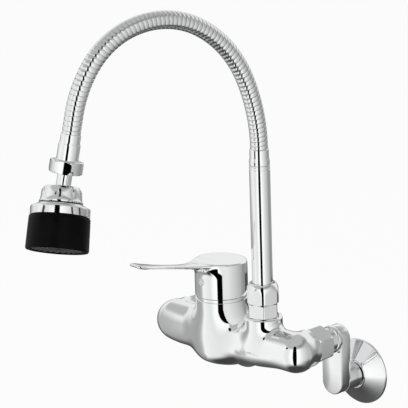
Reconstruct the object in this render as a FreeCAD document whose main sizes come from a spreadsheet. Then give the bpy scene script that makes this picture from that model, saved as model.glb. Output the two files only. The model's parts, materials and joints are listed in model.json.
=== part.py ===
# Wall-mounted single-lever kitchen mixer with a gooseneck spout and a ball-jointed spray head.
# The origin is on the wall, midway between the two inlets; +X right, +Y into the wall, +Z up.
import FreeCAD, Part
import math
import os
import Sketcher
from FreeCAD import Placement, Rotation, Vector

SIZES = {
    # wall connectors and flanges, measured outwards from the wall
    "inlet_spacing": 150.0,
    "union_rise": 41.0,
    "wall_thread_radius": 10.48,
    "wall_thread_length": 13.0,
    "pipe_radius": 12.0,
    "water_bore": 6.5,
    "flange_radius": 30.5,
    "flange_depth": 11.0,
    "flange_rim": 2.2,
    "flange_sheet": 1.2,
    "flange_gap": 0.4,
    "link_start": 28.0,
    "link_thick": 13.0,
    "link_radius": 11.7,
    "collar_radius": 11.0,
    "collar_ring_radius": 12.5,
    "collar_ring_width": 3.0,
    "tail_radius": 12.7,
    "tail_thick": 2.5,
    "washer_thick": 2.0,
    "union_nut_flats": 30.0,
    "union_nut_start": 54.0,
    "union_nut_lip": 3.7,
    "union_face_gap": 0.6,
    "thread_gap": 0.1,
    # cast valve body
    "arm_out": 88.5,
    "arm_radius": 18.0,
    "arm_round": 17.3,
    "stub_end": 62.5,
    "stub_shoulder": 72.0,
    "stub_radius": 16.9,
    "spot_face_radius": 18.6,
    "union_thread_radius": 13.2,
    "housing_shift": -14.5,
    "housing_radius": 23.8,
    "housing_top": 75.0,
    "housing_bottom": 16.0,
    "housing_round": 11.0,
    "duct_radius": 6.0,
    "duct_drop": 8.0,
    "port_radius": 3.2,
    "port_reach": 8.5,
    "outlet_duct_radius": 4.5,
    "outlet_duct_rise": 5.5,
    # cartridge
    "cartridge_radius": 20.0,
    "cartridge_floor": 52.0,
    "cartridge_shoulder": 66.3,
    "cartridge_neck_radius": 15.2,
    "cartridge_neck_top": 73.0,
    "cartridge_gap": 0.2,
    "cartridge_chamber_radius": 13.4,
    "seal_section": 1.3,
    "disc_thick": 4.0,
    "moving_disc_radius": 9.4,
    "moving_disc_offset": 3.0,
    "carrier_radius": 13.2,
    "carrier_neck_radius": 9.6,
    "carrier_top": 81.5,
    "lift_pivot": 77.0,
    "pin_radius": 1.5,
    "running_gap": 0.06,
    "stem_width": 8.0,
    "stem_depth": 7.0,
    "stem_top": 98.0,
    "stem_tip_radius": 2.6,
    "gland_nut_radius": 20.9,
    "gland_nut_hex": 2.5,
    "gland_nut_proud": 0.8,
    "trim_ring_radius": 22.8,
    "trim_ring_height": 3.2,
    "trim_ring_bevel": 0.5,
    "dome_gap": 0.5,
    "dome_bore_radius": 17.2,
    "dome_height": 6.8,
    # handle
    "cap_radius": 24.0,
    "cap_bottom": 79.0,
    "cap_top": 110.6,
    "cap_wall": 3.2,
    "cap_roof": 6.5,
    "cap_tilt": 2.5,
    "handle_yaw": 4.0,
    "handle_lift": 20.0,
    "lever_reach": 100.5,
    "lever_thick": 2.6,
    "lever_root_thick": 6.0,
    "lever_root_reach": 16.0,
    "lever_bend": 34.0,
    "lever_curl": 87.0,
    "lever_slope": 12.0,
    "lever_tip_slope": 18.0,
    "lever_neck_half": 5.0,
    "lever_tip_half": 9.2,
    "screw_height": 94.0,
    "screw_radius": 2.5,
    "screw_length": 9.0,
    "plug_radius": 3.4,
    "plug_length": 4.5,
    "plug_proud": 0.8,
    "socket_gap": 3.0,
    "socket_wall": 2.8,
    "stem_fit": 0.05,
    "skirt_gap": 0.4,
    # spout outlet, swivel and riser tube
    "spout_shift": 37.0,
    "boss_radius": 17.2,
    "boss_foot_radius": 15.0,
    "boss_top": 67.5,
    "boss_band": 9.0,
    "boss_thread_radius": 10.4,
    "boss_thread_depth": 11.0,
    "adapter_flats": 25.0,
    "adapter_hex": 12.5,
    "adapter_thread_radius": 12.2,
    "adapter_top": 91.0,
    "adapter_bore": 9.9,
    "adapter_waterway": 7.0,
    "spout_nut_flats": 28.0,
    "spout_nut_start": 80.6,
    "spout_nut_top": 98.8,
    "spout_nut_lip": 3.6,
    "bush_flange_radius": 11.4,
    "bush_flange": 1.8,
    "bush_bottom": 73.0,
    "slip_ring_thick": 1.4,
    "o_ring_section": 1.2,
    "tube_radius": 9.2,
    "tube_wall": 1.0,
    "tube_top": 206.0,
    # gooseneck, in the upright plane of the spout
    "spout_yaw": 12.0,
    "hose_radius": 7.8,
    "hose_wall": 1.4,
    "liner_radius": 5.6,
    "liner_wall": 1.4,
    "ferrule_length": 14.5,
    "ferrule_radius": 8.5,
    "ferrule_foot_radius": 9.1,
    "hose_entry": 9.0,
    "arc1_radius": 162.0,
    "arc1_turn": 24.0,
    "arc2_radius": 103.0,
    "arc2_turn": 36.0,
    "arc3_radius": 87.0,
    "arc3_turn": 48.0,
    "arc4_radius": 75.5,
    "arc4_turn": 36.0,
    "arc5_radius": 102.0,
    "arc5_turn": 23.0,
    "end_run": 24.0,
    # fittings at the hose end, measured down the neck from the end of the run
    "end_ferrule_length": 22.0,
    "end_ferrule_radius": 8.4,
    "end_ferrule_foot_radius": 9.2,
    "end_ferrule_taper": 9.0,
    "neck_nut_flats": 26.6,
    "neck_nut_height": 10.6,
    "neck_radius": 6.2,
    "neck_bore": 3.5,
    "neck_length": 11.9,
    "ball_radius": 10.5,
    # spray head, measured from the ball's centre
    "head_tilt_out": 15.5,
    "head_swing_out": 4.9,
    "ball_gap": 0.06,
    "slip_band_thick": 1.0,
    "seat_thick": 2.6,
    "head_top": 10.0,
    "cap_mouth_radius": 11.8,
    "head_cap_top_radius": 15.2,
    "head_cap_radius": 17.3,
    "head_cap_foot": 1.4,
    "head_cap_wall": 2.3,
    "head_flare": 9.0,
    "shell_top": 7.0,
    "shell_wall": 2.8,
    "shell_radius": 24.8,
    "shell_foot": 14.8,
    "sleeve_top_radius": 25.4,
    "sleeve_bottom_radius": 26.2,
    "sleeve_wall": 2.6,
    "sleeve_gap": 0.15,
    "shell_floor": 2.4,
    "head_bottom": 43.0,
    "face_thick": 2.4,
    "face_recess": 1.6,
    "nozzle_radius": 0.7,
    "aerator_radius": 9.5,
    "aerator_depth": 6.0,
    "core_wall": 2.4,
    "feed_radius": 1.6,
}

doc = FreeCAD.newDocument("wall_mixer")
sheet = doc.addObject("Spreadsheet::Sheet", "Sizes")
for row, (size_name, number) in enumerate(SIZES.items(), start=1):
    sheet.set(f"A{row}", size_name)
    sheet.set(f"B{row}", str(number))
    sheet.setAlias(f"B{row}", size_name)
doc.recompute()


class Size:
    """A number together with the formula that gives it from the sheet."""

    def __init__(self, value, text):
        self.value = value
        self.text = text

    def __float__(self):
        return float(self.value)

    def __add__(self, other):
        return Size(float(self) + float(other), f"({self.text} + {text_of(other)})")

    def __radd__(self, other):
        return Size(float(other) + float(self), f"({text_of(other)} + {self.text})")

    def __sub__(self, other):
        return Size(float(self) - float(other), f"({self.text} - {text_of(other)})")

    def __rsub__(self, other):
        return Size(float(other) - float(self), f"({text_of(other)} - {self.text})")

    def __mul__(self, other):
        return Size(float(self) * float(other), f"({self.text} * {text_of(other)})")

    def __rmul__(self, other):
        return Size(float(other) * float(self), f"({text_of(other)} * {self.text})")

    def __truediv__(self, other):
        return Size(float(self) / float(other), f"({self.text} / {text_of(other)})")

    def __neg__(self):
        return Size(-float(self), f"(0 - {self.text})")


class Sheet:
    """The sheet's sizes by name."""


def text_of(value):
    return value.text if isinstance(value, Size) else repr(float(value))


def sine(angle):
    return Size(math.sin(math.radians(float(angle))), f"sin({text_of(angle)})")


def cosine(angle):
    return Size(math.cos(math.radians(float(angle))), f"cos({text_of(angle)})")


def tangent(angle):
    return Size(math.tan(math.radians(float(angle))), f"tan({text_of(angle)})")


def root(value):
    return Size(math.sqrt(float(value)), f"sqrt({text_of(value)})")


s = Sheet()
for size_name, number in SIZES.items():
    setattr(s, size_name, Size(number, f"Sizes.{size_name}"))

OUT_OF_WALL = Rotation(Vector(1, 0, 0), 90)
ALONG_X = Rotation(Vector(0, 1, 0), 90)
nodes = {}


# Helpers that bind each feature to the sheet
def bind(thing, **values):
    for name, value in values.items():
        setattr(thing, name, float(value))
        if isinstance(value, Size):
            thing.setExpression(name, value.text)
    return thing


def place(thing, base=(0, 0, 0), turn=None):
    turn = turn or Rotation()
    thing.Placement = Placement(Vector(*(float(value) for value in base)), turn)
    for letter, value in zip("xyz", base):
        if isinstance(value, Size):
            thing.setExpression(f"Placement.Base.{letter}", value.text)
    return thing


def cylinder(radius, height, base=(0, 0, 0), turn=None):
    return place(bind(doc.addObject("Part::Cylinder", "round"), Radius=radius, Height=height), base, turn)


def cone(foot, top, height, base=(0, 0, 0), turn=None):
    shape = doc.addObject("Part::Cone", "taper")
    return place(bind(shape, Radius1=foot, Radius2=top, Height=height), base, turn)


def block(length, width, height, base=(0, 0, 0), turn=None):
    shape = doc.addObject("Part::Box", "block")
    return place(bind(shape, Length=length, Width=width, Height=height), base, turn)


def ball(radius, base=(0, 0, 0)):
    return place(bind(doc.addObject("Part::Sphere", "ball"), Radius=radius), base)


def ring(middle, section, base=(0, 0, 0), turn=None):
    return place(bind(doc.addObject("Part::Torus", "ring"), Radius1=middle, Radius2=section), base, turn)


def hexagon(flats, height, base=(0, 0, 0), turn=None):
    shape = doc.addObject("Part::Prism", "hexagon")
    shape.Polygon = 6
    across_corners = flats / math.cos(math.radians(30))
    return place(bind(shape, Circumradius=across_corners / 2, Height=height), base, turn)


def fuse(*things):
    joined = doc.addObject("Part::MultiFuse", "joined")
    joined.Shapes = list(things)
    joined.Refine = True
    return joined


def cut(base, *tools):
    result = doc.addObject("Part::Cut", "cut")
    result.Base = base
    result.Tool = tools[0] if len(tools) == 1 else fuse(*tools)
    result.Refine = True
    return result


def common(first, second):
    shared = doc.addObject("Part::Common", "common")
    shared.Base = first
    shared.Tool = second
    return shared


def group(*things):
    gathered = doc.addObject("Part::Compound", "group")
    gathered.Links = list(things)
    return gathered


def draw(body, role, name, points):
    """A closed outline whose corners are all held by the sheet."""
    plane = next(item for item in body.Origin.OriginFeatures if item.Role == role)
    sketch = body.newObject("Sketcher::SketchObject", name)
    sketch.AttachmentSupport = (plane, [""])
    sketch.MapMode = "FlatFace"
    corners = [Vector(float(x), float(y), 0) for x, y in points]
    for here, there in zip(corners, corners[1:] + corners[:1]):
        sketch.addGeometry(Part.LineSegment(here, there), False)
    count = len(points)
    for number in range(count):
        sketch.addConstraint(Sketcher.Constraint("Coincident", number, 2, (number + 1) % count, 1))
    for number, (x, y) in enumerate(points):
        for kind, axis, value in (("DistanceX", -2, x), ("DistanceY", -1, y)):
            if float(value) == 0:
                sketch.addConstraint(Sketcher.Constraint("PointOnObject", number, 1, axis))
                continue
            index = sketch.addConstraint(Sketcher.Constraint(kind, -1, 1, number, 1, float(value)))
            if isinstance(value, Size):
                sketch.setExpression(f"Constraints[{index}]", value.text)
    return sketch


def turned(name, points):
    """A turned piece from (radius, height) corners."""
    body = doc.addObject("PartDesign::Body", name)
    sketch = draw(body, "XZ_Plane", name + "_outline", points)
    turn = body.newObject("PartDesign::Revolution", name + "_turn")
    turn.Profile = sketch
    turn.ReferenceAxis = (sketch, ["V_Axis"])
    turn.Angle = 360
    return body


def padded(name, role, points, depth):
    """A flat outline thickened evenly to both sides of its plane."""
    body = doc.addObject("PartDesign::Body", name)
    sketch = draw(body, role, name + "_outline", points)
    pad = body.newObject("PartDesign::Pad", name + "_pad")
    pad.Profile = sketch
    bind(pad, Length=depth)
    pad.Midplane = True
    return body


def keep(name, thing):
    thing.Label = name
    nodes[name] = thing
    return thing


# Wall connectors, flanges and union nuts, drawn along the way out of the wall
def wall_side(side, sign):
    x = s.inlet_spacing * (sign / 2)
    link_front = s.link_start + s.link_thick
    tail_end = s.stub_end - s.washer_thick
    tail_start = tail_end - s.tail_thick

    def out(thing):
        return place(thing, (x, 0, 0), OUT_OF_WALL)

    high = (0, s.union_rise)
    link = fuse(
        cylinder(s.link_radius, s.link_thick, (0, 0, s.link_start)),
        cylinder(s.link_radius, s.link_thick, (*high, s.link_start)),
        block(s.link_radius * 2, s.union_rise, s.link_thick, (-s.link_radius, 0, s.link_start)),
    )
    metal = fuse(
        cylinder(s.wall_thread_radius, s.wall_thread_length, (0, 0, -s.wall_thread_length)),
        cylinder(s.pipe_radius, s.link_start),
        link,
        cylinder(s.collar_ring_radius, s.collar_ring_width, (*high, link_front)),
        cylinder(s.collar_radius, tail_end - link_front, (*high, link_front)),
        cylinder(s.tail_radius, s.tail_thick, (*high, tail_start)),
    )
    middle = s.link_start + s.link_thick / 2
    way = s.water_bore * 0.75
    water = (
        cylinder(s.water_bore, s.wall_thread_length + middle, (0, 0, -s.wall_thread_length)),
        cylinder(s.water_bore, tail_end - middle, (*high, middle)),
        cylinder(way, s.union_rise, (0, 0, middle), Rotation(Vector(1, 0, 0), -90)),
    )
    keep("wall_connector_" + side, out(cut(metal, *water)))

    mouth = s.pipe_radius + s.flange_gap
    crown = mouth + s.flange_sheet
    flange = turned("flange_" + side, [
        (s.flange_radius, 0),
        (s.flange_radius, s.flange_rim),
        (crown, s.flange_depth),
        (crown, s.flange_depth + s.flange_sheet),
        (mouth, s.flange_depth + s.flange_sheet),
        (mouth, s.flange_depth - s.flange_sheet),
        (s.flange_radius - s.flange_sheet, s.flange_rim - s.flange_sheet),
        (s.flange_radius - s.flange_sheet, 0),
    ])
    keep("wall_flange_" + side, out(flange))

    washer = cut(
        cylinder(s.union_thread_radius - s.thread_gap * 2, s.washer_thick, (*high, tail_end)),
        cylinder(s.water_bore, s.washer_thick, (*high, tail_end)),
    )
    keep("union_washer_" + side, out(washer))

    length = s.stub_shoulder - s.union_face_gap - s.union_nut_start
    corner = s.union_nut_flats * (0.5 / math.cos(math.radians(30)))
    chamfer = (corner - s.union_nut_flats / 2)
    inside = s.union_thread_radius + s.thread_gap
    envelope = turned("union_nut_turned_" + side, [
        (s.collar_radius + s.thread_gap, 0),
        (corner - chamfer, 0),
        (corner, chamfer * 0.7),
        (corner, length - chamfer * 0.7),
        (corner - chamfer, length),
        (inside, length),
        (inside, s.union_nut_lip),
        (s.collar_radius + s.thread_gap, s.union_nut_lip),
    ])
    nut = common(envelope, hexagon(s.union_nut_flats, length, (0, 0, 0), Rotation(Vector(0, 0, 1), 30)))
    keep("union_nut_" + side, place(nut, (x, -s.union_nut_start, s.union_rise), OUT_OF_WALL))


wall_side("left", -1)
wall_side("right", 1)


# Valve body, a casting with two arms, a cartridge housing and a spout boss
def valve_body():
    half_span = s.inlet_spacing / 2
    length = (half_span + s.arm_radius) * 2
    arm = cylinder(s.arm_radius, length, (length / -2, -s.arm_out, s.union_rise), ALONG_X)
    doc.recompute()
    soft = doc.addObject("Part::Fillet", "soft_arm")
    soft.Base = arm
    rims = [number for number, edge in enumerate(arm.Shape.Edges, start=1) if edge.isClosed()]
    soft.Edges = [(number, float(s.arm_round), float(s.arm_round)) for number in rims]
    housing = turned("housing_turned", [
        (0, s.housing_bottom),
        (s.housing_radius - s.housing_round, s.housing_bottom),
        (s.housing_radius - s.housing_round * 0.35, s.housing_bottom + s.housing_round * 0.25),
        (s.housing_radius, s.housing_bottom + s.housing_round),
        (s.housing_radius, s.housing_top),
        (0, s.housing_top),
    ])
    place(housing, (s.housing_shift, -s.arm_out, 0))
    boss = turned("boss_turned", [
        (0, s.union_rise),
        (s.boss_foot_radius, s.union_rise),
        (s.boss_foot_radius, s.boss_top - s.boss_band * 1.3),
        (s.boss_radius, s.boss_top - s.boss_band),
        (s.boss_radius, s.boss_top - s.boss_band * 0.1),
        (s.boss_radius - s.boss_band * 0.1, s.boss_top),
        (0, s.boss_top),
    ])
    place(boss, (s.spout_shift, -s.arm_out, 0))
    spot_faces = []
    stubs = []
    ducts = []
    for sign in (-1, 1):
        x = half_span * sign
        above_face = s.arm_radius - s.stub_shoulder
        spot = (x, above_face, s.union_rise)
        spot_faces.append(cylinder(s.spot_face_radius, s.arm_radius, spot, OUT_OF_WALL))
        reach = s.arm_out - s.stub_shoulder
        stubs.append(cylinder(s.stub_radius, reach, (x, -s.stub_shoulder, s.union_rise), OUT_OF_WALL))
        neck = s.stub_shoulder - s.stub_end
        stubs.append(cylinder(s.union_thread_radius, neck, (x, -s.stub_end, s.union_rise), OUT_OF_WALL))
        depth = s.arm_out - s.stub_end + s.duct_radius * 1.2
        inlet = (x, -s.stub_end, s.union_rise)
        ducts.append(cylinder(s.water_bore + s.duct_drop / 4, depth, inlet, OUT_OF_WALL))
        low = s.union_rise - s.duct_drop
        port = s.housing_shift + s.port_reach * sign
        run = (x - port) * sign
        start = port if sign > 0 else x
        ducts.append(cylinder(s.duct_radius, run, (start, -s.arm_out, low), ALONG_X))
        ducts.append(cylinder(s.port_radius, s.cartridge_floor - low, (port, -s.arm_out, low)))
    level = s.union_rise + s.outlet_duct_rise
    behind = s.port_reach - s.arm_out
    ducts.append(cylinder(s.port_radius, s.cartridge_floor - level, (s.housing_shift, behind, level)))
    begin = s.housing_shift - s.outlet_duct_radius
    ducts.append(cylinder(s.outlet_duct_radius, s.spout_shift - begin, (begin, behind, level), ALONG_X))
    well = s.boss_top - s.boss_thread_depth
    ducts.append(cylinder(s.adapter_waterway + 1, well - level, (s.spout_shift, -s.arm_out, level)))
    socket = (s.spout_shift, -s.arm_out, well)
    ducts.append(cylinder(s.boss_thread_radius + s.thread_gap, s.boss_thread_depth, socket))
    chamber = s.cartridge_radius + s.cartridge_gap
    height = s.housing_top - s.cartridge_floor
    ducts.append(cylinder(chamber, height, (s.housing_shift, -s.arm_out, s.cartridge_floor)))
    thread = s.housing_top - s.cartridge_shoulder
    wide = s.gland_nut_radius + s.thread_gap
    ducts.append(cylinder(wide, thread, (s.housing_shift, -s.arm_out, s.cartridge_shoulder)))
    keep("valve_body", cut(fuse(cut(soft, *spot_faces), housing, boss, *stubs), *ducts))


valve_body()


# Cartridge, gland nut and trim ring inside and on top of the housing
def on_housing(thing):
    return place(thing, (s.housing_shift, -s.arm_out, 0))


def on_stem(thing):
    """Place a piece that turns with the lever, which stands a little left of straight ahead."""
    place(thing, (s.housing_shift, -s.arm_out, 0), Rotation(Vector(0, 0, -1), float(s.handle_yaw)))
    thing.setExpression("Placement.Rotation.Angle", s.handle_yaw.text)
    return thing


def cartridge():
    base = s.cartridge_floor + s.seal_section
    inner = base + s.disc_thick / 2
    lower_disc = inner + s.disc_thick
    shell = turned("cartridge_turned", [
        (0, base),
        (s.cartridge_radius, base),
        (s.cartridge_radius, s.cartridge_shoulder),
        (s.cartridge_neck_radius, s.cartridge_shoulder),
        (s.cartridge_neck_radius, s.cartridge_neck_top),
        (s.carrier_neck_radius + 0.4, s.cartridge_neck_top),
        (s.carrier_neck_radius + 0.4, s.cartridge_neck_top - 2),
        (s.cartridge_chamber_radius, s.cartridge_neck_top - 2),
        (s.cartridge_chamber_radius, inner),
        (0, inner),
    ])
    ports = [
        cylinder(s.port_radius, s.disc_thick, (s.port_reach * x, s.port_reach * y, base))
        for x, y in ((-1, 0), (1, 0), (0, 1))
    ]
    keep("cartridge_body", on_housing(cut(shell, *ports)))

    seals = [
        ring(s.port_radius + s.seal_section, s.seal_section / 2,
             (s.port_reach * x, s.port_reach * y, s.cartridge_floor + s.seal_section / 2))
        for x, y in ((-1, 0), (1, 0), (0, 1))
    ]
    keep("cartridge_seals", on_housing(group(*seals)))

    fixed = cut(
        cylinder(s.cartridge_chamber_radius - s.cartridge_gap, s.disc_thick, (0, 0, inner)),
        *[cylinder(s.port_radius - 0.4, s.disc_thick, (s.port_reach * x, s.port_reach * y, inner))
          for x, y in ((-1, 0), (1, 0), (0, 1))],
    )
    keep("fixed_ceramic_disc", on_housing(fixed))

    pocket = s.stem_tip_radius + 0.5
    moving = cut(
        cylinder(s.moving_disc_radius, s.disc_thick, (0, s.moving_disc_offset, lower_disc)),
        cylinder(s.port_radius * 1.3, s.disc_thick / 3, (0, s.moving_disc_offset * 1.6, lower_disc)),
        cylinder(pocket, s.disc_thick / 2, (0, 0, lower_disc + s.disc_thick / 2)),
    )
    keep("moving_ceramic_disc", on_stem(moving))

    top = lower_disc + s.disc_thick + s.cartridge_gap
    step = s.cartridge_neck_top - 2 - s.cartridge_gap
    upper = cut(
        fuse(
            cylinder(s.carrier_radius - s.cartridge_gap, step - top, (0, 0, top)),
            cylinder(s.carrier_neck_radius, s.carrier_top - step, (0, 0, step)),
        ),
        block(s.stem_width + 0.3, s.stem_depth * 1.15 + 0.3 + s.moving_disc_offset * 2, s.lift_pivot - top,
              (-s.stem_width / 2 - 0.15, -s.stem_depth / 2 - 0.3 - s.moving_disc_offset * 2, top)),
        block(s.stem_width + 0.3, s.stem_depth + 3, s.carrier_top - s.lift_pivot,
              (-s.stem_width / 2 - 0.15, -s.stem_depth / 2 - 0.6, s.lift_pivot)),
        cylinder(s.pin_radius, s.carrier_neck_radius * 2, (-s.carrier_neck_radius, 0, s.lift_pivot), ALONG_X),
    )
    keep("stem_carrier", on_stem(upper))

    pin_length = s.carrier_neck_radius * 2 - 2
    pin = cylinder(s.pin_radius, pin_length, (pin_length / -2, 0, s.lift_pivot), ALONG_X)
    keep("stem_pin", on_stem(group(pin)))

    tip = lower_disc + s.disc_thick / 2 + s.cartridge_gap + s.stem_tip_radius
    stem = cut(
        fuse(
            block(s.stem_width, s.stem_depth, s.stem_top - tip - 2,
                  (-s.stem_width / 2, -s.stem_depth / 2, tip + 2)),
            cylinder(s.stem_tip_radius - 0.5, 3, (0, 0, tip)),
            ball(s.stem_tip_radius, (0, 0, tip)),
        ),
        cylinder(s.pin_radius + s.running_gap, s.stem_width, (-s.stem_width / 2, 0, s.lift_pivot), ALONG_X),
    )
    keep("cartridge_stem", on_stem(stem))

    gland_top = s.housing_top + s.gland_nut_proud
    hex_start = gland_top - s.gland_nut_hex
    gland = turned("gland_turned", [
        (s.cartridge_neck_radius + s.cartridge_gap, s.cartridge_shoulder),
        (s.gland_nut_radius, s.cartridge_shoulder),
        (s.gland_nut_radius, hex_start),
        (s.gland_nut_radius - 2, hex_start),
        (s.gland_nut_radius - 2, gland_top),
        (s.cartridge_neck_radius + s.cartridge_gap, gland_top),
    ])
    keep("gland_nut", on_housing(gland))

    # The band carries a dome round the lift pivot, which the cap tilts over
    band_top = s.housing_top + s.trim_ring_height
    shelf = gland_top + s.thread_gap * 2
    band = turned("trim_ring_turned", [
        (s.gland_nut_radius - 1.6, s.housing_top),
        (s.trim_ring_radius, s.housing_top),
        (s.trim_ring_radius, band_top - s.trim_ring_bevel),
        (s.trim_ring_radius - s.trim_ring_bevel, band_top),
        (s.dome_bore_radius, band_top),
        (s.dome_bore_radius, shelf),
        (s.gland_nut_radius - 1.6, shelf),
    ])
    dome_radius = s.cap_radius - s.cap_wall - s.dome_gap
    dome_foot = shelf + s.trim_ring_height / 4
    dome = cut(
        ball(dome_radius, (0, 0, s.lift_pivot)),
        cylinder(s.cap_radius, s.cap_radius * 2, (0, 0, dome_foot - s.cap_radius * 2)),
        cylinder(s.cap_radius, s.cap_radius, (0, 0, band_top + s.dome_height)),
        cylinder(s.dome_bore_radius, s.cap_radius, (0, 0, s.housing_top)),
    )
    keep("trim_ring", on_housing(fuse(band, dome)))


cartridge()


# Handle, its set screw and its cover plug
def cap_and_lever():
    """The cap with its lever: the teardrop plan, cut to its slopes above and below."""
    bend = s.lever_bend
    curl = s.lever_curl
    reach = s.lever_reach
    root_end = s.cap_radius + s.lever_root_reach
    bend_top = s.cap_top + bend * tangent(s.cap_tilt)
    root_top = bend_top + (root_end - bend) * tangent(s.lever_slope)
    curl_top = bend_top + (curl - bend) * tangent(s.lever_slope)
    tip_top = curl_top + (reach - curl) * tangent(s.lever_tip_slope)
    beyond = reach + s.lever_thick
    low = s.cap_bottom
    high = tip_top + s.cap_radius
    wide = s.cap_radius * 1.5
    above = padded("lever_above", "YZ_Plane", [
        (wide, s.cap_top - wide * tangent(s.cap_tilt)),
        (-bend, bend_top),
        (-curl, curl_top),
        (-beyond, curl_top + (beyond - curl) * tangent(s.lever_tip_slope)),
        (-beyond, high),
        (wide, high),
    ], wide * 2)
    inner = s.cap_radius / 3
    under = padded("lever_under", "YZ_Plane", [
        (-inner, -high),
        (-inner, s.cap_top - s.lever_root_thick),
        (-s.cap_radius * 0.9, s.cap_top - s.lever_root_thick),
        (-root_end, root_top - s.lever_thick),
        (-curl, curl_top - s.lever_thick),
        (-beyond, curl_top + (beyond - curl) * tangent(s.lever_tip_slope) - s.lever_thick),
        (-beyond, -high),
    ], wide * 2)
    outline = [
        (s.cap_radius * 0.8, inner * 1.2),
        (s.cap_radius * 0.72, s.cap_radius * 0.8),
        (s.lever_tip_half * 1.35, s.cap_radius * 1.12),
        (s.lever_neck_half * 1.6, s.cap_radius * 1.5),
        (s.lever_neck_half * 1.1, s.cap_radius * 2.1),
        (s.lever_neck_half, reach * 0.66),
        (s.lever_tip_half * 0.75, reach * 0.84),
        (s.lever_tip_half, reach * 0.93),
        (s.lever_tip_half * 0.8, reach * 0.98),
        (s.lever_tip_half * 0.4, reach),
    ]
    right = [(half, -along) for half, along in outline]
    left = [(-half, -along) for half, along in reversed(outline)]
    plan = padded("lever_plan", "XY_Plane", right + left, high * 2 - 1)
    cap = cylinder(s.cap_radius, high - low - 1, (0, 0, low))
    return cut(fuse(cap, cut(plan, under)), above)


def handle():
    wide = s.cap_radius * 1.5
    inside = s.cap_radius - s.cap_wall
    roof = s.cap_top - s.cap_roof
    hollow = cylinder(inside, roof - s.cap_bottom, (0, 0, s.cap_bottom))
    shell = cut(cap_and_lever(), hollow)
    socket_foot = s.carrier_top + s.socket_gap
    wall = s.socket_wall
    socket = block(s.stem_width + wall * 2, s.stem_depth + wall * 2, roof - socket_foot,
                   (-s.stem_width / 2 - wall, -s.stem_depth / 2 - wall, socket_foot))
    rib = block(s.stem_width, inside, s.screw_radius * 4,
                (-s.stem_width / 2, -inside, s.screw_height - s.screw_radius * 2))
    body = fuse(shell, socket, rib)
    # The skirt's back is cut on a slant, so that it clears the trim ring at full lift
    clear = s.housing_top + s.trim_ring_height + s.skirt_gap
    start = s.lift_pivot + (clear - s.lift_pivot) / cosine(s.handle_lift)
    rise = wide * tangent(s.handle_lift)
    relief = padded("skirt_relief", "YZ_Plane", [
        (-wide, start - rise),
        (wide, start + rise),
        (wide, s.housing_bottom),
        (-wide, s.housing_bottom),
    ], wide * 2)
    fit = s.stem_fit
    stem_hole = block(s.stem_width + fit * 2, s.stem_depth + fit * 2, s.stem_top - socket_foot + fit,
                      (-s.stem_width / 2 - fit, -s.stem_depth / 2 - fit, socket_foot))
    screw_hole = cylinder(s.screw_radius + fit, s.cap_radius, (0, 0, s.screw_height), OUT_OF_WALL)
    face = s.plug_length - s.cap_radius
    plug_hole = cylinder(s.plug_radius + fit, s.plug_length * 2, (0, face, s.screw_height), OUT_OF_WALL)
    keep("handle", on_stem(cut(body, relief, stem_hole, screw_hole, plug_hole)))

    screw_start = -s.stem_depth / 2 - fit
    screw = cut(
        cylinder(s.screw_radius, s.screw_length, (0, screw_start, s.screw_height), OUT_OF_WALL),
        hexagon(s.screw_radius, s.screw_length / 3,
                (0, screw_start - s.screw_length * 2 / 3, s.screw_height), OUT_OF_WALL),
    )
    keep("handle_set_screw", on_stem(screw))

    plug = fuse(
        cylinder(s.plug_radius, s.plug_length, (0, face, s.screw_height), OUT_OF_WALL),
        cone(s.plug_radius, s.plug_radius * 0.8, s.plug_proud,
             (0, face - s.plug_length, s.screw_height), OUT_OF_WALL),
    )
    keep("indicator_plug", on_stem(plug))


handle()


# Spout outlet: adapter, nut, end bush, seals and riser tube
def on_spout(thing):
    return place(thing, (s.spout_shift, -s.arm_out, 0))


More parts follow.
